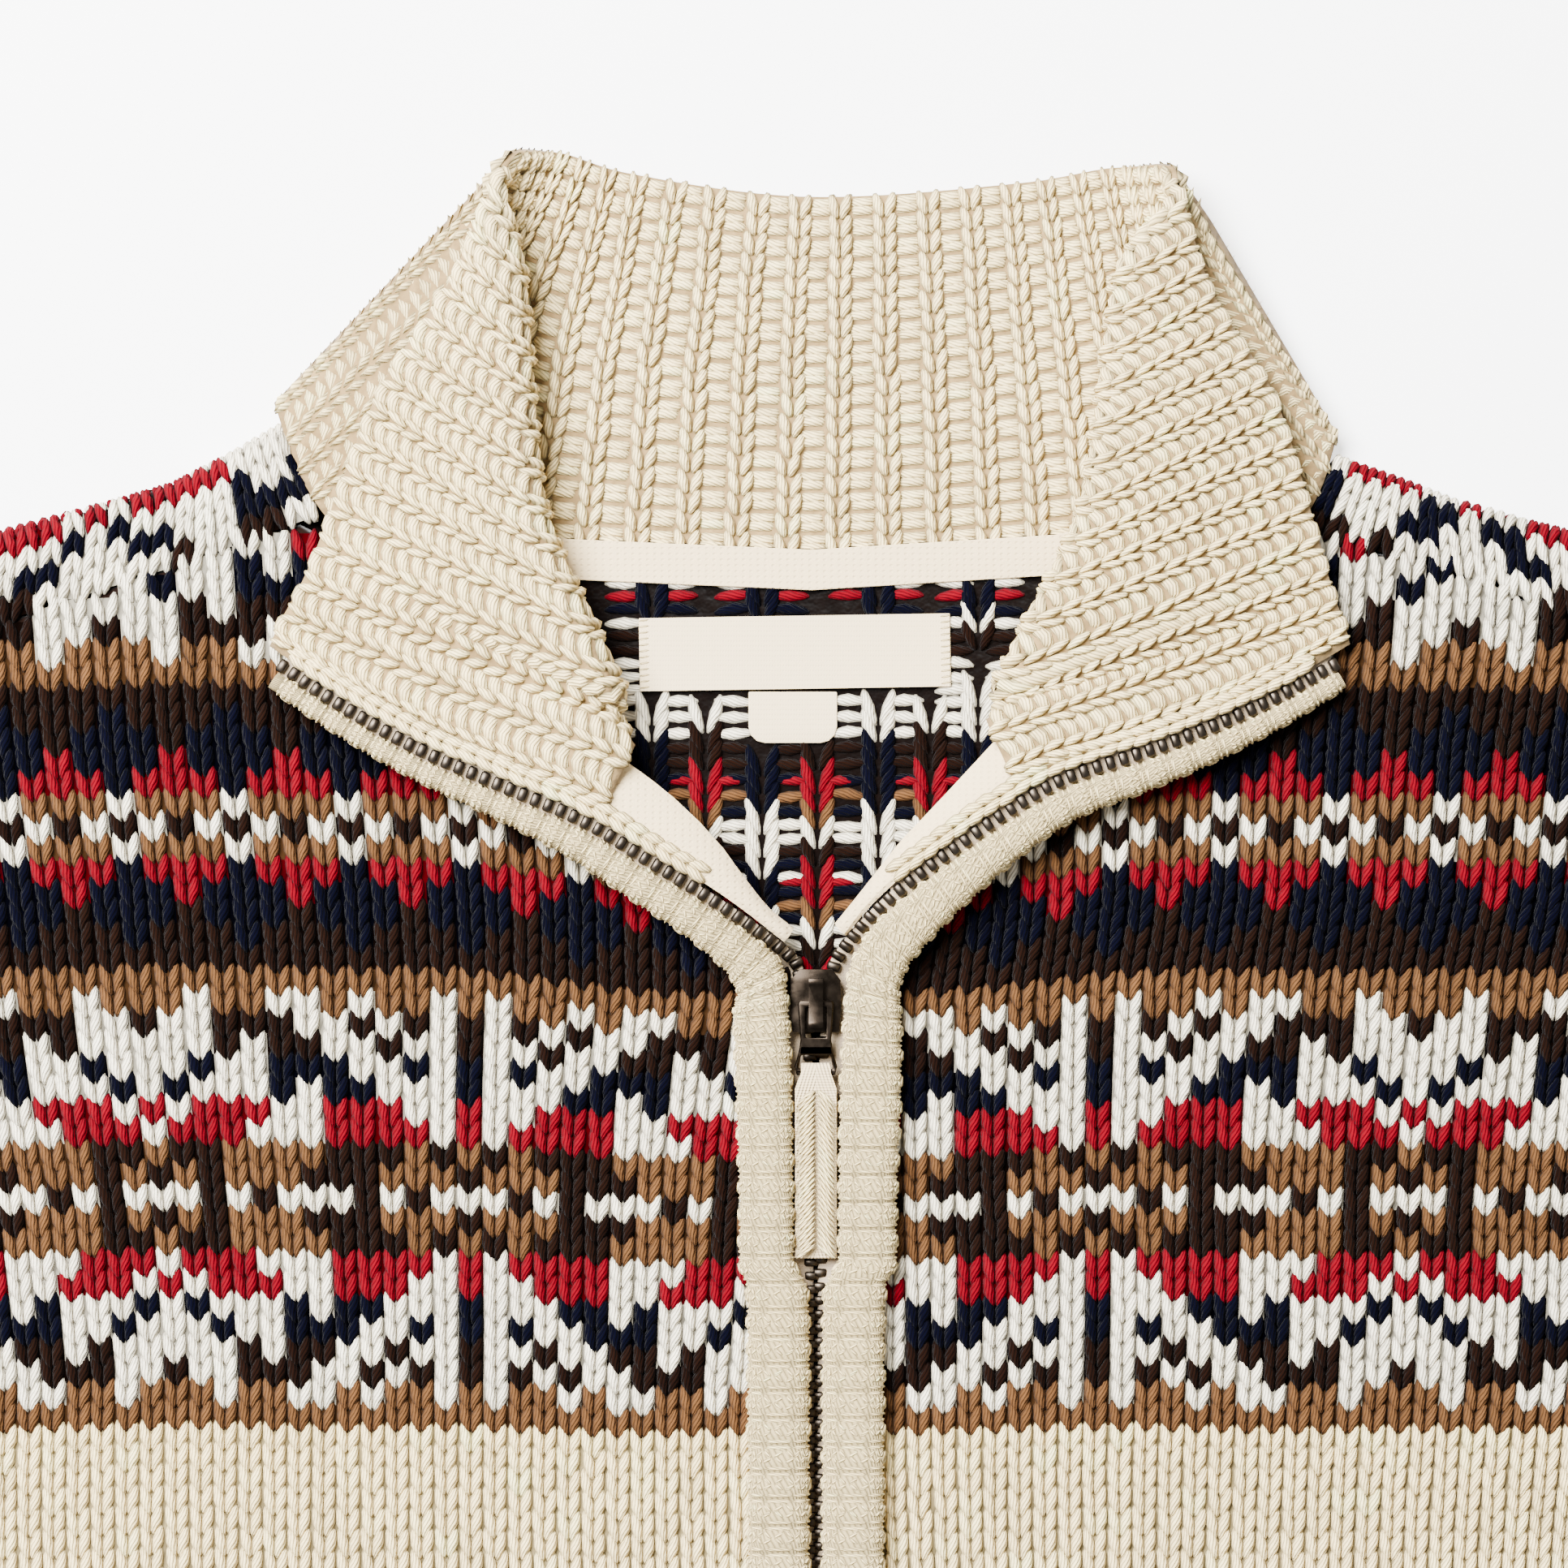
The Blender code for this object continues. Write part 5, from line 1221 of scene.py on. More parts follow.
def net_surface(net, columns, rows, offset=0.0, flip=False):
    """A surface read from a net of points, whose columns and rows are evenly spaced over two spans."""
    normals = net_normals(net) * (-1 if flip else 1)
    raised = net + normals * offset

    def surface(column, row):
        i = (column - columns[0]) / (columns[1] - columns[0]) * (len(net) - 1)
        j = (row - rows[0]) / (rows[1] - rows[0]) * (net.shape[1] - 1)
        low_i, s = cell_of(i, len(net))
        low_j, t = cell_of(j, net.shape[1])

        def read(source):
            near = source[low_i, low_j] * (1 - s) + source[low_i + 1, low_j] * s
            far = source[low_i, low_j + 1] * (1 - s) + source[low_i + 1, low_j + 1] * s
            return near * (1 - t) + far * t

        return read(raised), unit(read(normals))

    return surface


def collar_section(station):
    """One rib's middle line from the neck seam to the free edge, over the roll where there is one."""
    seam, roll, edge = (np.array([station[f"{part}_{axis}"] for axis in "xyz"])
                        for part in ("seam", "roll", "edge"))
    radius = station["roll_r"]
    if seam[2] < SEAM_TUCK_Z:
        seam = seam + unit(seam - edge) * SEAM_TUCK
    stand_rows, roll_rows, flap_rows = SECTION_POINTS[0], SECTION_POINTS[1] * 2, SECTION_POINTS[2]
    if radius == 0:
        stand = [seam + (roll - seam) * share for share in np.linspace(0, 1, stand_rows + 1)[:-1]]
        bow = np.array([0.0, station["bow"], 0.0])
        rest = [roll + (edge - roll) * share + bow * 4 * share * (1 - share)
                for share in np.linspace(0, 1, roll_rows + flap_rows + 1)]
        return np.array(stand + rest)
    ways = []
    for target in (seam, edge):
        flat = (target - roll) * (1, 1, 0)
        ways.append(flat / np.linalg.norm(flat))
    up = np.array([0.0, 0.0, 1.0])
    turn = []
    for angle in np.linspace(-math.pi / 2, math.pi / 2, roll_rows + 1):
        way = ways[0] if angle < 0 else ways[1]
        turn.append(roll + way * radius * (1 - math.cos(angle)) + up * radius * math.sin(angle))
    stand = [seam + (turn[0] - seam) * share for share in np.linspace(0, 1, stand_rows + 1)[:-1]]
    flap = []
    for share in np.linspace(0, 1, flap_rows + 1)[1:]:
        flap.append(turn[-1] + (edge - turn[-1]) * share + up * FLAP_CROWN * 4 * share * (1 - share))
    return np.array(stand + turn + flap)


def even_line(points, count):
    """The same line with evenly spaced points."""
    run = np.concatenate([[0], np.cumsum(np.linalg.norm(np.diff(points, axis=0), axis=1))])
    at = np.linspace(0, run[-1], count)
    return np.stack([np.interp(at, run, points[:, k]) for k in range(3)], axis=1)


def collar_net(per_rib, count):
    stations = [dict(zip(COLLAR_COLUMNS, row)) for row in COLLAR_STATIONS]
    sections = np.array([collar_section(station) for station in stations])
    ribs = np.linspace(0, COLLAR_RIBS, COLLAR_RIBS * per_rib + 1)
    net = monotone_curve([station["rib"] for station in stations], sections, ribs)
    return np.array([even_line(section, count) for section in net])


def grid_object(name, net, material, thickness):
    """A grid bent over a net of points, given an even wall."""
    build = bmesh.new()
    bmesh.ops.create_grid(build, x_segments=len(net) - 1, y_segments=net.shape[1] - 1, size=0.5)
    build.verts.ensure_lookup_table()
    for vertex in build.verts:
        i = round((vertex.co.x + 0.5) * (len(net) - 1))
        j = round((vertex.co.y + 0.5) * (net.shape[1] - 1))
        vertex.co = net[i, j] * MM
    bmesh.ops.recalc_face_normals(build, faces=build.faces)
    piece = piece_from(build, name, material)
    wall = piece.modifiers.new("Wall", "SOLIDIFY")
    wall.thickness = thickness * MM
    wall.offset = 0.0
    return piece


def collar_stitches(outer):
    """One face of the collar: a knit column on each rib and a purl column between two ribs."""
    stitches = settings()[1]
    net = collar_net(4, 49)
    knit = net_surface(net, (0, COLLAR_RIBS), (COLLAR_KNIT_ROWS, 0), COLLAR_WALL / 2 - KNIT_SINK, outer)
    detail = COARSE if outer else FINE
    pile = Pile()
    columns, rows = cells((0, COLLAR_RIBS), (0, COLLAR_KNIT_ROWS))
    ribs = columns + 0.5
    spread, _ = knit(np.stack([ribs - 0.5, ribs + 0.5]), np.stack([rows + 0.5, rows + 0.5]))
    pitch = np.linalg.norm(spread[1] - spread[0], axis=1)
    wobble = stitch_wobble(len(ribs), SEED + outer)
    colours = cream_yarn(len(ribs), SEED + outer)
    share, least, most = COLLAR_LEG_HALF
    half = np.clip(pitch * COLLAR_KNIT_SHARE * share, least, most)
    paths = leg_paths(ribs, rows, COLLAR_KNIT_SHARE, COLLAR_LEG_LENGTH, wobble, COLLAR_REACH)
    grains(pile, knit, paths, np.concatenate([half, half]), in_mm(stitches.collar_rise),
           np.concatenate([colours, colours]), detail, seed=SEED + outer)
    for at_back, count in ((True, BACK_PURL_ROWS), (False, FLAP_PURL_ROWS)):
        part = "back" if at_back else "flap"
        purl = net_surface(net, (0, COLLAR_RIBS), (count, 0), COLLAR_WALL / 2 - PURL_SINK, outer)
        columns, rows = cells((1, COLLAR_RIBS), (0, count))
        behind = (columns >= BACK_RIBS[0]) & (columns < BACK_RIBS[1])
        columns, rows = columns[behind == at_back], rows[behind == at_back]
        reach = (COLLAR_PURL_SHARE if at_back else FLAP_PURL_SHARE) / 2
        ribs = columns.astype(float)
        bow = np.where(rows % 2, PURL_BOW[part], -PURL_BOW[part]) if at_back else PURL_BOW[part]
        lean = 0.0 if at_back else FLAP_PURL_LEAN
        paths = cross_paths(ribs, reach, rows + 0.5 + lean, rows + 0.5 - bow, rows + 0.5 - lean)
        paths += stitch_wobble(len(ribs), SEED + 3)
        grains(pile, purl, paths, PURL_HALF[part], in_mm(stitches.purl_rise), cream_yarn(len(ribs), SEED + 4),
               LEAF if outer else FINE, seed=SEED + 5, taper=PURL_TAPER)
    return pile.object(f"collar_{'outer' if outer else 'inner'}_stitches", yarn_material())


def edge_welt(side):
    """The chain of thick stitches along the collar's edge, beside the teeth."""
    line, _, outward, at = zip_stations(side, 1.0)
    start = at[line["y"] > WELT_FROM_Y][0]
    flat = np.stack([line["x"], line["y"]], axis=1) - outward * WELT_INSET

    def surface(column, row):
        run = start + row * WELT_PITCH
        way = np.stack([np.interp(run, at, outward[:, k]) for k in (0, 1)], axis=-1)
        spot = np.stack([np.interp(run, at, flat[:, k]) for k in (0, 1)], axis=-1)
        spot = spot + way * (column * WELT_WIDTH)[..., None]
        z = np.interp(run, at, line["z"]) + WELT_LIFT
        points = np.concatenate([spot, z[..., None]], axis=-1)
        return points, facing(points)

    rows = np.arange(int((at[-1] - start) / WELT_PITCH))
    colours = cream_yarn(len(rows), SEED + 11)
    wobble = stitch_wobble(len(rows), SEED + 12)
    paths = leg_paths(np.zeros(len(rows)), rows, 1.0, WELT_LENGTH, wobble, WELT_REACH)
    pile = Pile()
    grains(pile, surface, paths, WELT_HALF, WELT_RISE, np.concatenate([colours, colours]), seed=SEED + 12)
    return pile.object(f"collar_welt_{side_name(side)}", yarn_material())


def zip_stations(side, step):
    """Evenly spaced stations of the zip line, with the way out from it and the run along it."""
    values = np.array(ZIP_LINES[side])
    steps = np.linalg.norm(np.diff(values[:, :3], axis=0), axis=1)
    along = np.concatenate([[0.0], np.cumsum(steps)])
    at = np.linspace(0, along[-1], round(along[-1] / step) + 1)
    line = monotone_curve(along, values, at)
    heading = unit(np.gradient(line[:, :3], axis=0))
    flat = unit(heading[:, :2])
    outward = np.stack([-flat[:, 1], flat[:, 0]], axis=1) * -side
    return dict(zip(ZIP_COLUMNS, line.T)), heading, outward, at


def band_net(side, step, puffed=True):
    """Rings of the knitted band beside the teeth, drawn in between its puffs."""
    line, _, outward, at = zip_stations(side, step)
    window = 2 * round(BAND_TURN / 2 / step) + 1
    held = np.pad(outward, ((window // 2, window // 2), (0, 0)), mode="edge")
    outward = unit(np.stack([np.convolve(held[:, k], np.ones(window), "valid") for k in (0, 1)], axis=1))
    place = np.stack([line["x"], line["y"]], axis=1)
    centre = place + outward * (line["band_gap"] + line["band_width"] / 2)[:, None]
    height = line["band_top"] - BAND_BASE_Z
    angles = 2 * math.pi * np.arange(BAND_SIDES + 1) / BAND_SIDES - math.pi / 2
    across = np.copysign(np.abs(np.cos(angles)) ** 0.7, np.cos(angles))
    up = np.copysign(np.abs(np.sin(angles)) ** 0.7, np.sin(angles))
    puff = 1 - BAND_DRAW_IN * (1 - np.abs(np.sin(math.pi * at / PUFF_PITCH)) ** 0.55) if puffed else 1.0
    half = line["band_width"] / 2 * (0.55 + 0.45 * puff) + 0.25
    tall = height / 2 * puff
    spot = centre[:, None] + outward[:, None] * (across * half[:, None])[..., None]
    z = BAND_BASE_Z + height[:, None] / 2 + up * tall[:, None]
    net = np.concatenate([spot, z[..., None]], axis=2)
    return net if side < 0 else net[:, ::-1]


def puff_loops(seen):
    """Guide points of the loops on one puff, as shares of the puff and of the turn, and half widths."""
    paths, halves = [], []
    for row, (low, high) in enumerate(LOOP_ROWS if seen else PLAIN_LOOP_ROWS):
        for k in range(LOOPS_ACROSS):
            around = LOOP_ARC[0] + LOOP_ARC[1] * k / (LOOPS_ACROSS - 1)
            tilt = LOOP_TILT if (k + row) % 2 else -LOOP_TILT
            paths.append([(low, around - tilt), ((low + high) / 2, around), (high, around + tilt)])
            halves.append(LOOP_HALF)
    for share in CROSS_SHARES:
        for k in range(CROSS_COUNT):
            around = CROSS_ARC[0] + CROSS_ARC[1] * k
            paths.append([(share, around - CROSS_HALF_TURN), (share + CROSS_BEND, around),
                          (share, around + CROSS_HALF_TURN)])
            halves.append(CROSS_HALF)
    for around in SIDE_LINES if seen else PLAIN_SIDE_LINES:
        paths.append([(share, around) for share in SIDE_LINE_SHARES])
        halves.append(LOOP_HALF)
    return np.array(paths), halves


def band_piece(side):
    """The band's body, and the fine loops and cross lines on it."""
    node = f"front_band_{side_name(side)}"
    net = band_net(side, BAND_STEP)
    pile = Pile()
    points = net.reshape(1, -1, 3)
    line, _, _, at = zip_stations(side, BAND_STEP)
    spots = np.stack(np.meshgrid(at, np.linspace(0, BAND_GIRTH, BAND_SIDES + 1), indexing="ij"), -1)
    # Painted shade: the body darkens in the grooves between puffs and along its top under the loops
    groove = np.abs(np.sin(math.pi * at / PUFF_PITCH)) ** 0.5
    crest = np.abs(np.linspace(0, 1, BAND_SIDES + 1) - 0.5) < MESH_HALF
    shades = (GROOVE_SHADE + (1 - GROOVE_SHADE) * groove)[:, None] * np.where(crest, MESH_SHADE, 1.0)
    pile.add(points, grid_faces(net.shape[1], net.shape[0]), spots[..., ::-1].reshape(1, -1, 2),
             yarn_colours()[:1], shades)
    body = pile.object(f"{node}_body", yarn_material())
    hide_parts(node)
    surface = net_surface(net, (0, at[-1]), (0.0, 1.0), 0.0, True)
    paths, halves = [], []
    for start in PUFF_PITCH * np.arange(int(at[-1] / PUFF_PITCH)):
        seen = np.interp(start, at, line["y"]) > CAMERA_WINDOW[1]
        shares, widths = puff_loops(seen)
        paths.append(shares * (PUFF_PITCH, 1.0) + (start, 0.0))
        halves += widths
    paths = np.concatenate(paths)
    loops = Pile()
    grains(loops, surface, paths, np.array(halves), LOOP_RISE, cream_yarn(len(paths), SEED + 9), LOOP,
           lift=LOOP_SINK, seed=SEED + 8)
    return body, loops.object(f"{node}_loops", yarn_material())


def tooth_template():
    """One zip tooth, its long side across the zip, as vertices and triangles."""
    build = bmesh.new()
    bmesh.ops.create_cube(build, size=1.0)
    for vertex in build.verts:
        vertex.co = [value * size for value, size in zip(vertex.co, TOOTH_SIZE)]
    bmesh.ops.bevel(build, geom=list(build.edges), offset=TOOTH_BEVEL, segments=1, profile=0.5, material=-1,
                    affect="EDGES")
    bmesh.ops.triangulate(build, faces=list(build.faces))
    build.verts.index_update()
    points = np.array([vertex.co for vertex in build.verts])
    faces = np.array([[vertex.index for vertex in face.verts] for face in build.faces])
    build.free()
    return points, faces


def zip_points(side, step, lift=0.0):
    """Points on the zip line, with the ways along it and out from it."""
    line, heading, outward, _ = zip_stations(side, step)
    place = np.stack([line["x"], line["y"], line["z"] + lift], axis=1)
    return line, place, heading, np.concatenate([outward, np.zeros((len(outward), 1))], axis=1)


def zip_piece(side, teeth_material, tape_material):
    """The teeth of one side, and the tape that carries them up to the knitted band."""
    node = f"zip_{side_name(side)}"
    pitch = in_mm(settings()[2].tooth_pitch)
    _, place, heading, out = zip_points(side, pitch)
    up = unit(np.cross(out, heading)) * -side
    closed = place[:, 1] < SLIDER_Y - MESHED_BELOW_SLIDER
    place = place + heading * np.where(closed & (side > 0), pitch / 2, 0.0)[:, None]
    place = place - out * np.where(closed, MESH_DEPTH, 0.0)[:, None]
    shape, faces = tooth_template()
    points = (place[:, None] + out[:, None] * shape[None, :, :1] + heading[:, None] * shape[None, :, 1:2]
              + up[:, None] * shape[None, :, 2:])
    pile = Pile()
    spots = np.zeros((*points.shape[:2], 2))
    pile.add(points, faces, spots, np.full((len(points), 3), 0.1))
    teeth = pile.object(f"{node}_teeth", teeth_material, "zip_metal")
    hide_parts(node)
    line, place, _, out = zip_points(side, TAPE_STEP, -TAPE_SINK)
    reach = line["band_gap"] + TAPE_PAST_BAND
    inner = np.where(line["y"] < WELT_FROM_Y, TAPE_INNER, TAPE_INNER_COLLAR)
    rise = np.where(line["y"] < SLIDER_Y, TAPE_RISE, -TAPE_FALL)
    up = np.array([0.0, 0.0, 1.0])
    net = np.stack([place + out * (share * (reach + inner) - inner)[:, None] + up * (share * rise)[:, None]
                    for share in np.linspace(0, 1, 4)], axis=1)
    tape = grid_object(f"{node}_tape", net, tape_material, TAPE_WALL)
    return teeth, tape


def sleeve_surface(side, top=True):
    """A sleeve's upper or under face, by column down from its upper edge and row from the armhole."""
    knots = np.array(ARMHOLE)
    points = [knots[0], knots[1]]
    for first, second in zip(knots[1:], knots[2:]):
        points += [(first + second) / 2, second]
    armhole = np.array(points)
    across = np.concatenate([[0.0], np.cumsum(np.linalg.norm(np.diff(armhole, axis=0), axis=1))])
    across /= across[-1]
    shares = np.linspace(0, 1, SLEEVE_RINGS)
    tops = monotone_curve(np.linspace(0, 1, len(SLEEVE_TOP)), SLEEVE_TOP, shares)
    lows = monotone_curve(np.linspace(0, 1, len(SLEEVE_LOW)), SLEEVE_LOW, shares)
    bulge = armhole - (tops[0] + (lows[0] - tops[0]) * across[:, None])
    fine = np.linspace(0, 1, 25)
    keep = 1 - smooth_share(shares / ARMHOLE_BLEND)
    lines = []
    for top_end, low_end, hold in zip(tops, lows, keep):
        line = top_end + (low_end - top_end) * across[:, None] + bulge * hold
        lines.append(np.stack([np.interp(fine, across, line[:, k]) for k in (0, 1)], axis=1))
    net = np.array(lines)
    widths = np.linalg.norm(np.diff(net, axis=1), axis=2).sum(axis=1)
    radius = FOLD_OUTER - (GROUND_DROP if top else SKIN_Z)

    def ring_at(row):
        return np.clip(row * ROW_PITCH / SLEEVE_LENGTH, 0, 1) * (len(net) - 1)

    def width_at(row):
        return np.interp(ring_at(row), np.arange(len(net)), widths)

    def surface(column, row):
        width = width_at(row)
        down = column * SLEEVE_STITCH
        inner = np.clip(down, FOLD_OUTER, width - FOLD_OUTER)
        past = down - inner
        j = inner / width * (net.shape[1] - 1)
        low_i, s = cell_of(ring_at(row), len(net))
        low_j, t = cell_of(j, net.shape[1])
        near = net[low_i, low_j] * (1 - s) + net[low_i + 1, low_j] * s
        far = net[low_i, low_j + 1] * (1 - s) + net[low_i + 1, low_j + 1] * s
        way = unit(far - near)
        angle = np.clip(past / radius, -math.pi / 2, math.pi / 2)
        spot = near * (1 - t) + far * t + way * (radius * np.sin(angle))[..., None]
        z = FOLD_OUTER + radius * np.cos(angle) * (1 if top else -1)
        spot = np.stack([spot[..., 0] * -side, spot[..., 1] - (RIGHT_DROP if side > 0 else 0.0), z], axis=-1)
        tilt = way * np.sin(angle)[..., None]
        upward = np.cos(angle) * (1 if top else -1)
        return spot, np.stack([tilt[..., 0] * -side, tilt[..., 1], upward], axis=-1)

    return surface, width_at


def sleeve_pieces(side):
    node = f"sleeve_{side_name(side)}"
    made = []
    for top, pile in ((True, Pile()), (False, Pile())):
        surface, width_at = sleeve_surface(side, top)
        columns, rows = cells((-1, SLEEVE_COLUMNS), (0, int(SLEEVE_LENGTH / ROW_PITCH)))
        down = (columns + 0.5) * SLEEVE_STITCH
        turn = FOLD_OUTER * (math.pi / 2 - 1)
        kept = (down > -turn) & (down < width_at(rows + 0.5) + turn)
        columns, rows = columns[kept], rows[kept]
        yarn = pattern_yarn(columns - BAR_COLUMN, rows + SLEEVE_FIRST_ROW)
        places = columns + 0.5
        if top:
            lay_stitches(pile, surface, places, rows, yarn, SLEEVE_STITCH, SEED + 30 + side)
            made.append(pile.object(f"{node}_stitches", yarn_material(), "yoke_knit"))
        else:
            colours = varied(yarn_colours()[yarn], SEED + 40 + side)
            knit_ground(pile, surface, places, rows, colours, shade=SKIN_SHADE)
            made.append(pile.object(f"{node}_under_skin", skin_material(), "yoke_knit"))
    return made


def rib_ground(pile, surface, ribs, shade=None):
    """A flat patch under each stitch of a rib."""
    columns, rows = cells((0, ribs), (0, RIB_ROWS))
    cream = np.repeat(yarn_colours()[:1], len(columns), axis=0)
    knit_ground(pile, surface, columns + 0.5, rows, cream, shade)


def rib_stitches(pile, surface, ribs, pitch, seed):
    """One-by-one rib: a raised column of Vs, then a low column of cross stitches."""
    columns, rows = cells((0, ribs), (0, RIB_ROWS))
    colours = cream_yarn(len(columns), seed)
    paths = leg_paths(columns + 0.5, rows.astype(float), RIB_KNIT_SHARE, RIB_LEG_LENGTH)
    grains(pile, surface, paths, pitch * RIB_LEG_HALF, RIB_KNIT_RISE, np.concatenate([colours, colours]),
           LEAF, seed=seed)
    columns, rows = cells((1, ribs), (0, RIB_ROWS))
    ends, middle = rows + RIB_PURL_ENDS, rows + RIB_PURL_MIDDLE
    paths = cross_paths(columns.astype(float), RIB_PURL_REACH, ends, middle, ends)
    grains(pile, surface, paths, RIB_PURL_HALF, RIB_PURL_RISE, cream_yarn(len(columns), seed + 1), LEAF,
           seed=seed)
    rib_ground(pile, surface, ribs)


def hem_surface(side, top=True):
    def surface(column, row):
        y = HEM_TOP_Y - row * (HEM_TOP_Y - HEM_Y) / RIB_ROWS
        share = (y - HEM_Y) / (HEM_TOP_Y - HEM_Y)
        reach = HEM_SIDE_X + (SIDE_EDGE[0][1] - HEM_SIDE_X) * np.sin(share * math.pi / 2) - HEM_FROM_X
        x = HEM_FROM_X + column / HEM_RIBS * reach
        z = np.full_like(x, CLOTH_TOP - GROUND_DROP if top else SKIN_Z)
        points = np.stack([x * side, y, z], axis=-1)
        return points, facing(points, 1 if top else -1)
    return surface


def cuff_surface(side, top=True):
    upper, lower = np.array(SLEEVE_TOP[-1]), np.array(SLEEVE_LOW[-1])
    across = (lower - upper) / np.linalg.norm(lower - upper)
    along = np.array([across[1], -across[0]])
    middle = (upper + lower) / 2

    def surface(column, row):
        share = row / RIB_ROWS
        width = CUFF_WIDTHS[0] + (CUFF_WIDTHS[1] - CUFF_WIDTHS[0]) * share
        over = (column / CUFF_RIBS - 0.5) * (width - 1.5 * FOLD_OUTER)
        spot = middle + along * (share * CUFF_LENGTH)[..., None] + across * over[..., None]
        z = np.full_like(over, CLOTH_TOP - GROUND_DROP if top else SKIN_Z)
        y = spot[..., 1] - (RIGHT_DROP if side > 0 else 0.0)
        points = np.stack([spot[..., 0] * -side, y, z], axis=-1)
        return points, facing(points, 1 if top else -1)
    return surface


def soft_copy(node, name, material, bevel, body=GARMENT):
    """A copy of a small node with its edges rounded."""
    piece = piece_from(node_mesh(node), name, material, TRIM_SHARP, body)
    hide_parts(node)
    rounding = piece.modifiers.new("Rounding", "BEVEL")
    rounding.width = bevel * MM
    rounding.segments = 2
    rounding.limit_method = "ANGLE"
    rounding.angle_limit = math.radians(BEVEL_SHARP)
    return piece


def tuck_under_flap(tape, side):
    """Runs the upper end of a facing tape on under the collar flap."""
    points = np.array([vertex.co for vertex in tape.data.vertices]) / MM
    top = points[:, 1].max()
    share = np.clip((points[:, 1] - TAPE_TUCK_FROM_Y) / (top - TAPE_TUCK_FROM_Y), 0, 1)[:, None]
    points += share * np.array(TAPE_TUCK) * (side, 1, 1)
    tape.data.vertices.foreach_set("co", (points * MM).astype(np.float32).ravel())
    tape.data.update()


def label_threads(centre, size, tilt, name):
    """The overcast stitches that hold a label's two short ends."""
    pile = Pile()
    width, height, thick = size
    surface = flat_surface(TRIM_Z + thick)
    turn = math.radians(tilt)
    paths = []
    count = round(height / LABEL_THREAD_PITCH)
    slant = np.array(LABEL_THREAD_SLANT)
    for end in (-1, 1):
        for k in range(count):
            y = -height / 2 + (k + 0.5) * height / count
            x = end * (width / 2 - LABEL_THREAD_REACH)
            xs = (x - LABEL_THREAD_REACH, x, x + LABEL_THREAD_REACH)
            paths.append(np.stack([xs, y + slant], axis=1))
    paths = np.array(paths)
    turned = np.stack([paths[..., 0] * math.cos(turn) - paths[..., 1] * math.sin(turn) + centre[0],
                       paths[..., 0] * math.sin(turn) + paths[..., 1] * math.cos(turn) + centre[1]], axis=-1)
    colours = np.repeat(yarn_colours()[:1] * LABEL_THREAD_SHADE, len(paths), axis=0)
    grains(pile, surface, turned, LABEL_THREAD_HALF, LABEL_THREAD_RISE, colours, LOOP)
    return pile.object(name, yarn_material(), "cream_tape")


def tab_threads():
    """Slanted threads of the tab's herringbone, on its two faces, below the plain loop."""
    low, high = (np.array(corner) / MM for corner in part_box("pull_tab"))
    top = high[1] - TAB_LOOP_LENGTH
    count = int((top - low[1]) / TAB_THREAD_PITCH)
    rows = low[1] + TAB_THREAD_PITCH * (np.arange(count) + TAB_FIRST_THREAD)
    half = (high[0] - low[0]) / 2 - TAB_EDGE
    outs = (TAB_THREAD_FROM, half * TAB_THREAD_BEND, half)
    middle = (high[0] + low[0]) / 2
    pile = Pile()
    for height, face in ((high[2] - TAB_SINK, 1), (low[2] + TAB_SINK, -1)):
        paths = []
        for side in (-1, 1):
            for y in rows:
                paths.append([(middle + side * out, y + along) for out, along in zip(outs, TAB_THREAD_ALONG)])
        paths = np.array(paths)
        paths[..., 1] = np.clip(paths[..., 1], low[1] + TAB_ENDS[0], top + TAB_ENDS[1])
        grains(pile, flat_surface(height, face), paths, TAB_THREAD_HALF, TAB_THREAD_RISE,
               cream_yarn(len(paths), SEED + 15), FINE, seed=SEED + 15)
    return pile.object("pull_tab_threads", yarn_material(), "cream_tape", PULLER)


class SWEATER_OT_fronts(bpy.types.Operator):
    """Knits both fronts, with the patterned yoke over the plain body"""
    bl_idname = "sweater.fronts"
    bl_label = "Fronts"

    def execute(self, context):
        yarns = settings()[0]
        ground = ground_material("front_ground", tuple(yarns.cream), tuple(yarns.brown), YOKE_END_Y)
        for side, node in ((-1, "front_left"), (1, "front_right")):
            shell = shell_from(node, f"{node}_cloth", ground)
            pieces = front_stitches(side)
        return {"FINISHED"}


class SWEATER_OT_back(bpy.types.Operator):
    """Knits the back: its flat under face, the strips over the shoulders and the inside at the neck"""
    bl_idname = "sweater.back"
    bl_label = "Back"

    def execute(self, context):
        yarns = settings()[0]
        # Painted shade: the ground under the back's knots is the brown darkened
        dark = tuple(BACK_GROUND_SHADE * value for value in yarns.brown)
        ground = ground_material("back_ground", tuple(yarns.cream), dark, YOKE_END_Y)
        shell = shell_from("back_panel", "back_cloth", ground)
        pieces = [back_skin(), inner_back(), shoulder_stitches(-1), shoulder_stitches(1)]
        return {"FINISHED"}


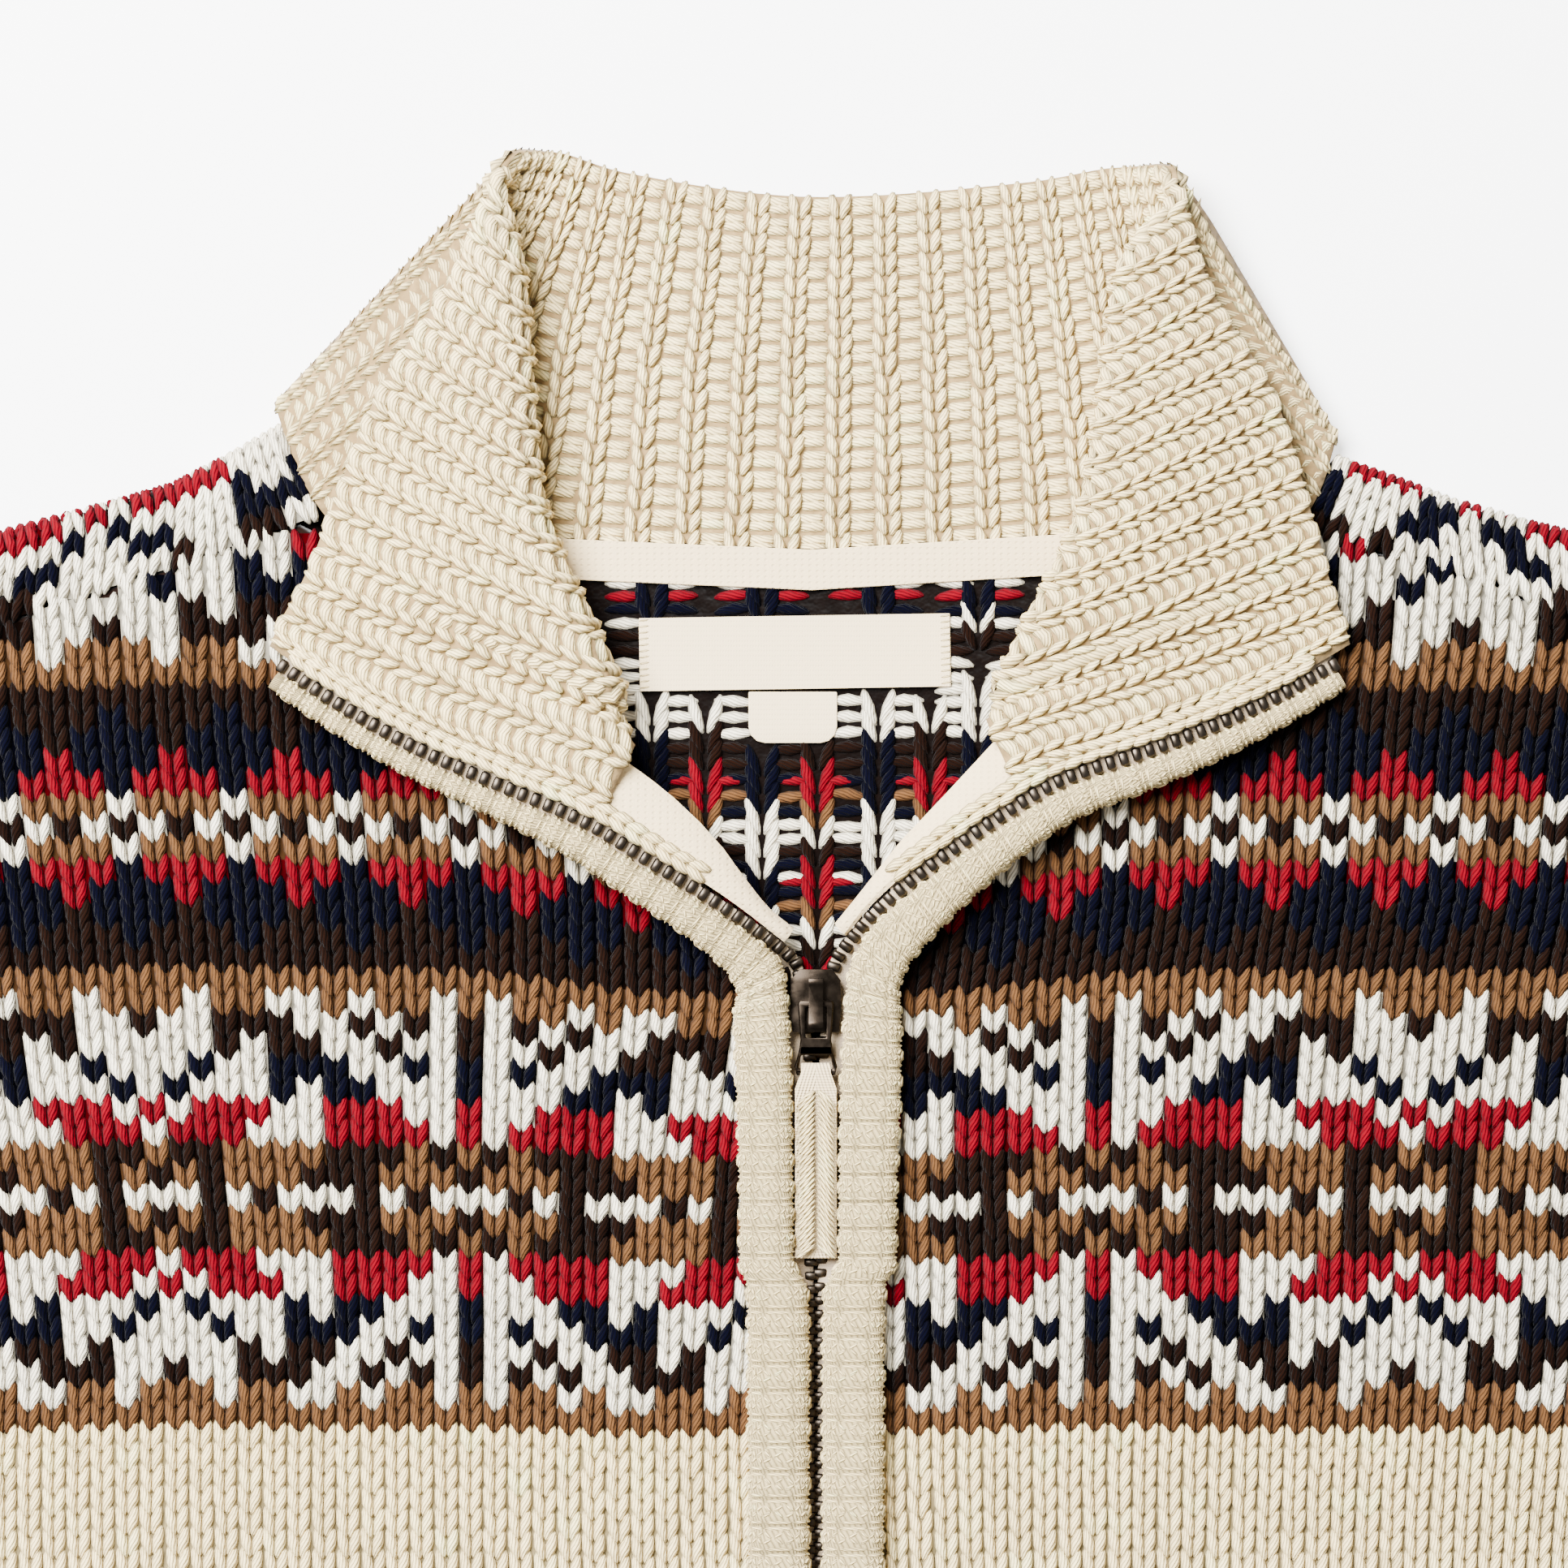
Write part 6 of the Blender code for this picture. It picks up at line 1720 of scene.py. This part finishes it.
class SWEATER_OT_sleeves(bpy.types.Operator):
    """Knits both sleeves and their ribbed cuffs"""
    bl_idname = "sweater.sleeves"
    bl_label = "Sleeves and cuffs"

    def execute(self, context):
        yarns = settings()[0]
        ground = ground_material("sleeve_ground", tuple(yarns.cream), tuple(yarns.brown),
                                 YOKE_END_Y - SLEEVE_YOKE_DROP)
        plain = ground_material("rib_ground", tuple(yarns.cream), tuple(yarns.cream), 0.0)
        for side, name in ((-1, "left"), (1, "right")):
            shell = shell_from(f"sleeve_{name}", f"sleeve_{name}_cloth", ground)
            pieces = sleeve_pieces(side)
            shell = shell_from(f"cuff_{name}", f"cuff_{name}_cloth", plain)
            pile, under = Pile(), Pile()
            rib_stitches(pile, cuff_surface(side), CUFF_RIBS, CUFF_RIB_PITCH, SEED + 50 + side)
            rib_ground(under, cuff_surface(side, False), CUFF_RIBS, SKIN_SHADE)
            pieces = [pile.object(f"cuff_{name}_stitches", yarn_material()),
                      under.object(f"cuff_{name}_under_skin", skin_material())]
        return {"FINISHED"}


class SWEATER_OT_hem(bpy.types.Operator):
    """Knits the ribbed hem of both fronts and the back"""
    bl_idname = "sweater.hem"
    bl_label = "Hem"

    def execute(self, context):
        yarns = settings()[0]
        plain = ground_material("hem_ground", tuple(yarns.cream), tuple(yarns.cream), 0.0)
        under = Pile()
        for side, name in ((-1, "left"), (1, "right")):
            shell = shell_from(f"hem_rib_{name}", f"hem_{name}_cloth", plain)
            pile = Pile()
            rib_stitches(pile, hem_surface(side), HEM_RIBS, HEM_RIB_PITCH, SEED + 60 + side)
            pieces = [pile.object(f"hem_{name}_stitches", yarn_material())]
            rib_ground(under, hem_surface(side, False), HEM_RIBS, SKIN_SHADE)
        shell = shell_from("hem_rib_back", "hem_back_cloth", plain)
        skin = under.object("hem_back_under_skin", skin_material())
        return {"FINISHED"}


class SWEATER_OT_collar(bpy.types.Operator):
    """Knits the ribbed collar, which stands at the back neck and rolls open in front"""
    bl_idname = "sweater.collar"
    bl_label = "Collar"

    def execute(self, context):
        # Painted shadow: the collar's cloth that shows between its stitches takes the shadow colour
        painted_shade = tuple(settings()[0].shadow)
        ground = ground_material("collar_ground", painted_shade, painted_shade, 0.0)
        shell = grid_object("collar_cloth", collar_net(2, 25), ground, COLLAR_WALL)
        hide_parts("collar")
        pieces = [collar_stitches(False), collar_stitches(True), edge_welt(-1), edge_welt(1)]
        return {"FINISHED"}


class SWEATER_OT_bands(bpy.types.Operator):
    """Knits the rounded bands beside the zip"""
    bl_idname = "sweater.bands"
    bl_label = "Front bands"

    def execute(self, context):
        for side in (-1, 1):
            body, loops = band_piece(side)
        return {"FINISHED"}


class SWEATER_OT_zip(bpy.types.Operator):
    """Makes the zip's teeth and tapes, its slider, and its puller"""
    bl_idname = "sweater.zip"
    bl_label = "Zip"

    def execute(self, context):
        trims = settings()[2]
        teeth = metal_material("zip_teeth_metal", tuple(trims.teeth), 0.38)
        tape = cloth_material("zip_tape_weave", tuple(trims.zip_tape), 0.5, 0.5, 0.06)
        for side in (-1, 1):
            _, strip = zip_piece(side, teeth, tape)
        bronze = metal_material("slider_bronze", tuple(trims.slider), 0.3)
        soft_copy("zip_slider", "slider_body", bronze, 0.35)
        soft_copy("zip_puller", "puller_body", bronze, 0.3, PULLER)
        return {"FINISHED"}


class SWEATER_OT_trims(bpy.types.Operator):
    """Makes the pull tab, the neck tape, the facing tapes and the bare labels"""
    bl_idname = "sweater.trims"
    bl_label = "Tab, tapes and labels"

    def execute(self, context):
        trims = settings()[2]
        twill = cloth_material("tab_twill", tuple(trims.tape), 0.62, 0.5, 0.10, lean=0.3)
        tab = soft_copy("pull_tab", "pull_tab_twill", twill, 0.2, PULLER)
        tab_threads()
        jersey = cloth_material("tape_jersey", tuple(trims.tape), 1.35, 1.05, 0.12)
        for node, flat, area in (("neck_tape", (120, 10), 0.00092), ("facing_tape_left", (15, 46), 0.00045),
                                 ("facing_tape_right", (15, 46), 0.00045)):
            tape = soft_copy(node, f"{node}_cloth", jersey, 0.3)
            if node != "neck_tape":
                tuck_under_flap(tape, -1 if node == "facing_tape_left" else 1)
        woven = cloth_material("label_weave", tuple(trims.label), 0.5, 0.9, 0.05)
        for node, centre, size, tilt in (("neck_label", LABEL_CENTRE, LABEL_SIZE, LABEL_TILT),
                                         ("size_label", SIZE_LABEL_CENTRE, SIZE_LABEL_SIZE, 0.0)):
            label = soft_copy(node, f"{node}_cloth", woven, 0.2)
            if node == "neck_label":
                label_threads(centre, size, tilt, f"{node}_threads")
        return {"FINISHED"}


class SWEATER_OT_stage(bpy.types.Operator):
    """Sets the pale floor, the soft light and the camera over the neck"""
    bl_idname = "sweater.stage"
    bl_label = "Stage"

    def execute(self, context):
        stage = settings()[3]
        build = bmesh.new()
        bmesh.ops.create_grid(build, x_segments=1, y_segments=1, size=FLOOR_HALF)
        mesh = bpy.data.meshes.new("floor")
        build.to_mesh(mesh)
        build.free()
        paper, _, _, shader = shade_material("floor_paper", tuple(stage.floor), 0.95)
        shader.inputs["Emission Color"].default_value = WHITE
        shader.inputs["Emission Strength"].default_value = stage.glow
        mesh.materials.append(paper)
        floor = bpy.data.objects.new("floor", mesh)
        floor.location.z = -FLOOR_DROP * MM
        context.scene.collection.objects.link(floor)
        world = bpy.data.worlds.new("even_sky")
        world.use_nodes = True
        world.node_tree.nodes["Background"].inputs["Color"].default_value = WHITE
        world.node_tree.nodes["Background"].inputs["Strength"].default_value = stage.sky
        context.scene.world = world
        light = bpy.data.lights.new("softbox", "AREA")
        light.energy = stage.lamp
        light.shape = "DISK"
        light.size = LAMP_SIZE
        lamp = bpy.data.objects.new("softbox", light)
        lamp.location = LAMP_PLACE
        way = Vector(LAMP_AIM) - lamp.location
        lamp.rotation_euler = way.to_track_quat("-Z", "Y").to_euler()
        context.scene.collection.objects.link(lamp)
        camera = bpy.data.cameras.new("camera")
        camera.lens = CAMERA_LENS
        camera.sensor_width = CAMERA_SENSOR
        holder = bpy.data.objects.new("camera", camera)
        holder.location = tuple(value * MM for value in CAMERA_PLACE)
        context.scene.collection.objects.link(holder)
        context.scene.camera = holder
        return {"FINISHED"}


OPERATORS = (SWEATER_OT_fronts, SWEATER_OT_back, SWEATER_OT_sleeves, SWEATER_OT_hem, SWEATER_OT_collar,
             SWEATER_OT_bands, SWEATER_OT_zip, SWEATER_OT_trims, SWEATER_OT_stage)
SETTINGS = (("sweater_yarns", SweaterYarns), ("sweater_stitches", SweaterStitches),
            ("sweater_trims", SweaterTrims), ("sweater_stage", SweaterStage))


class SWEATER_PT_panel(bpy.types.Panel):
    """Colours, sizes and steps of the sweater"""
    bl_idname = "SWEATER_PT_panel"
    bl_label = "Zip-up sweater"
    bl_space_type = "VIEW_3D"
    bl_region_type = "UI"
    bl_category = "Sweater"

    def draw(self, context):
        for name, group in SETTINGS:
            box = self.layout.box()
            for field in group.__annotations__:
                box.prop(getattr(context.scene, name), field)
        for operator in OPERATORS:
            self.layout.operator(operator.bl_idname)


def register():
    for name, group in SETTINGS:
        bpy.utils.register_class(group)
        setattr(bpy.types.Scene, name, PointerProperty(type=group))
    for operator in OPERATORS:
        bpy.utils.register_class(operator)
    bpy.utils.register_class(SWEATER_PT_panel)


def unregister():
    bpy.utils.unregister_class(SWEATER_PT_panel)
    for operator in reversed(OPERATORS):
        bpy.utils.unregister_class(operator)
    for name, group in reversed(SETTINGS):
        delattr(bpy.types.Scene, name)
        bpy.utils.unregister_class(group)


def plain(bounds):
    return [[float(value) for value in corner] for corner in bounds]


def main():
    register()
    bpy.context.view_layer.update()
    bpy.ops.sweater.fronts()
    bpy.ops.sweater.back()
    bpy.ops.sweater.sleeves()
    bpy.ops.sweater.hem()
    bpy.ops.sweater.collar()
    bpy.ops.sweater.bands()
    bpy.ops.sweater.zip()
    bpy.ops.sweater.trims()
    bpy.ops.sweater.stage()


if __name__ == "__main__":
    main()
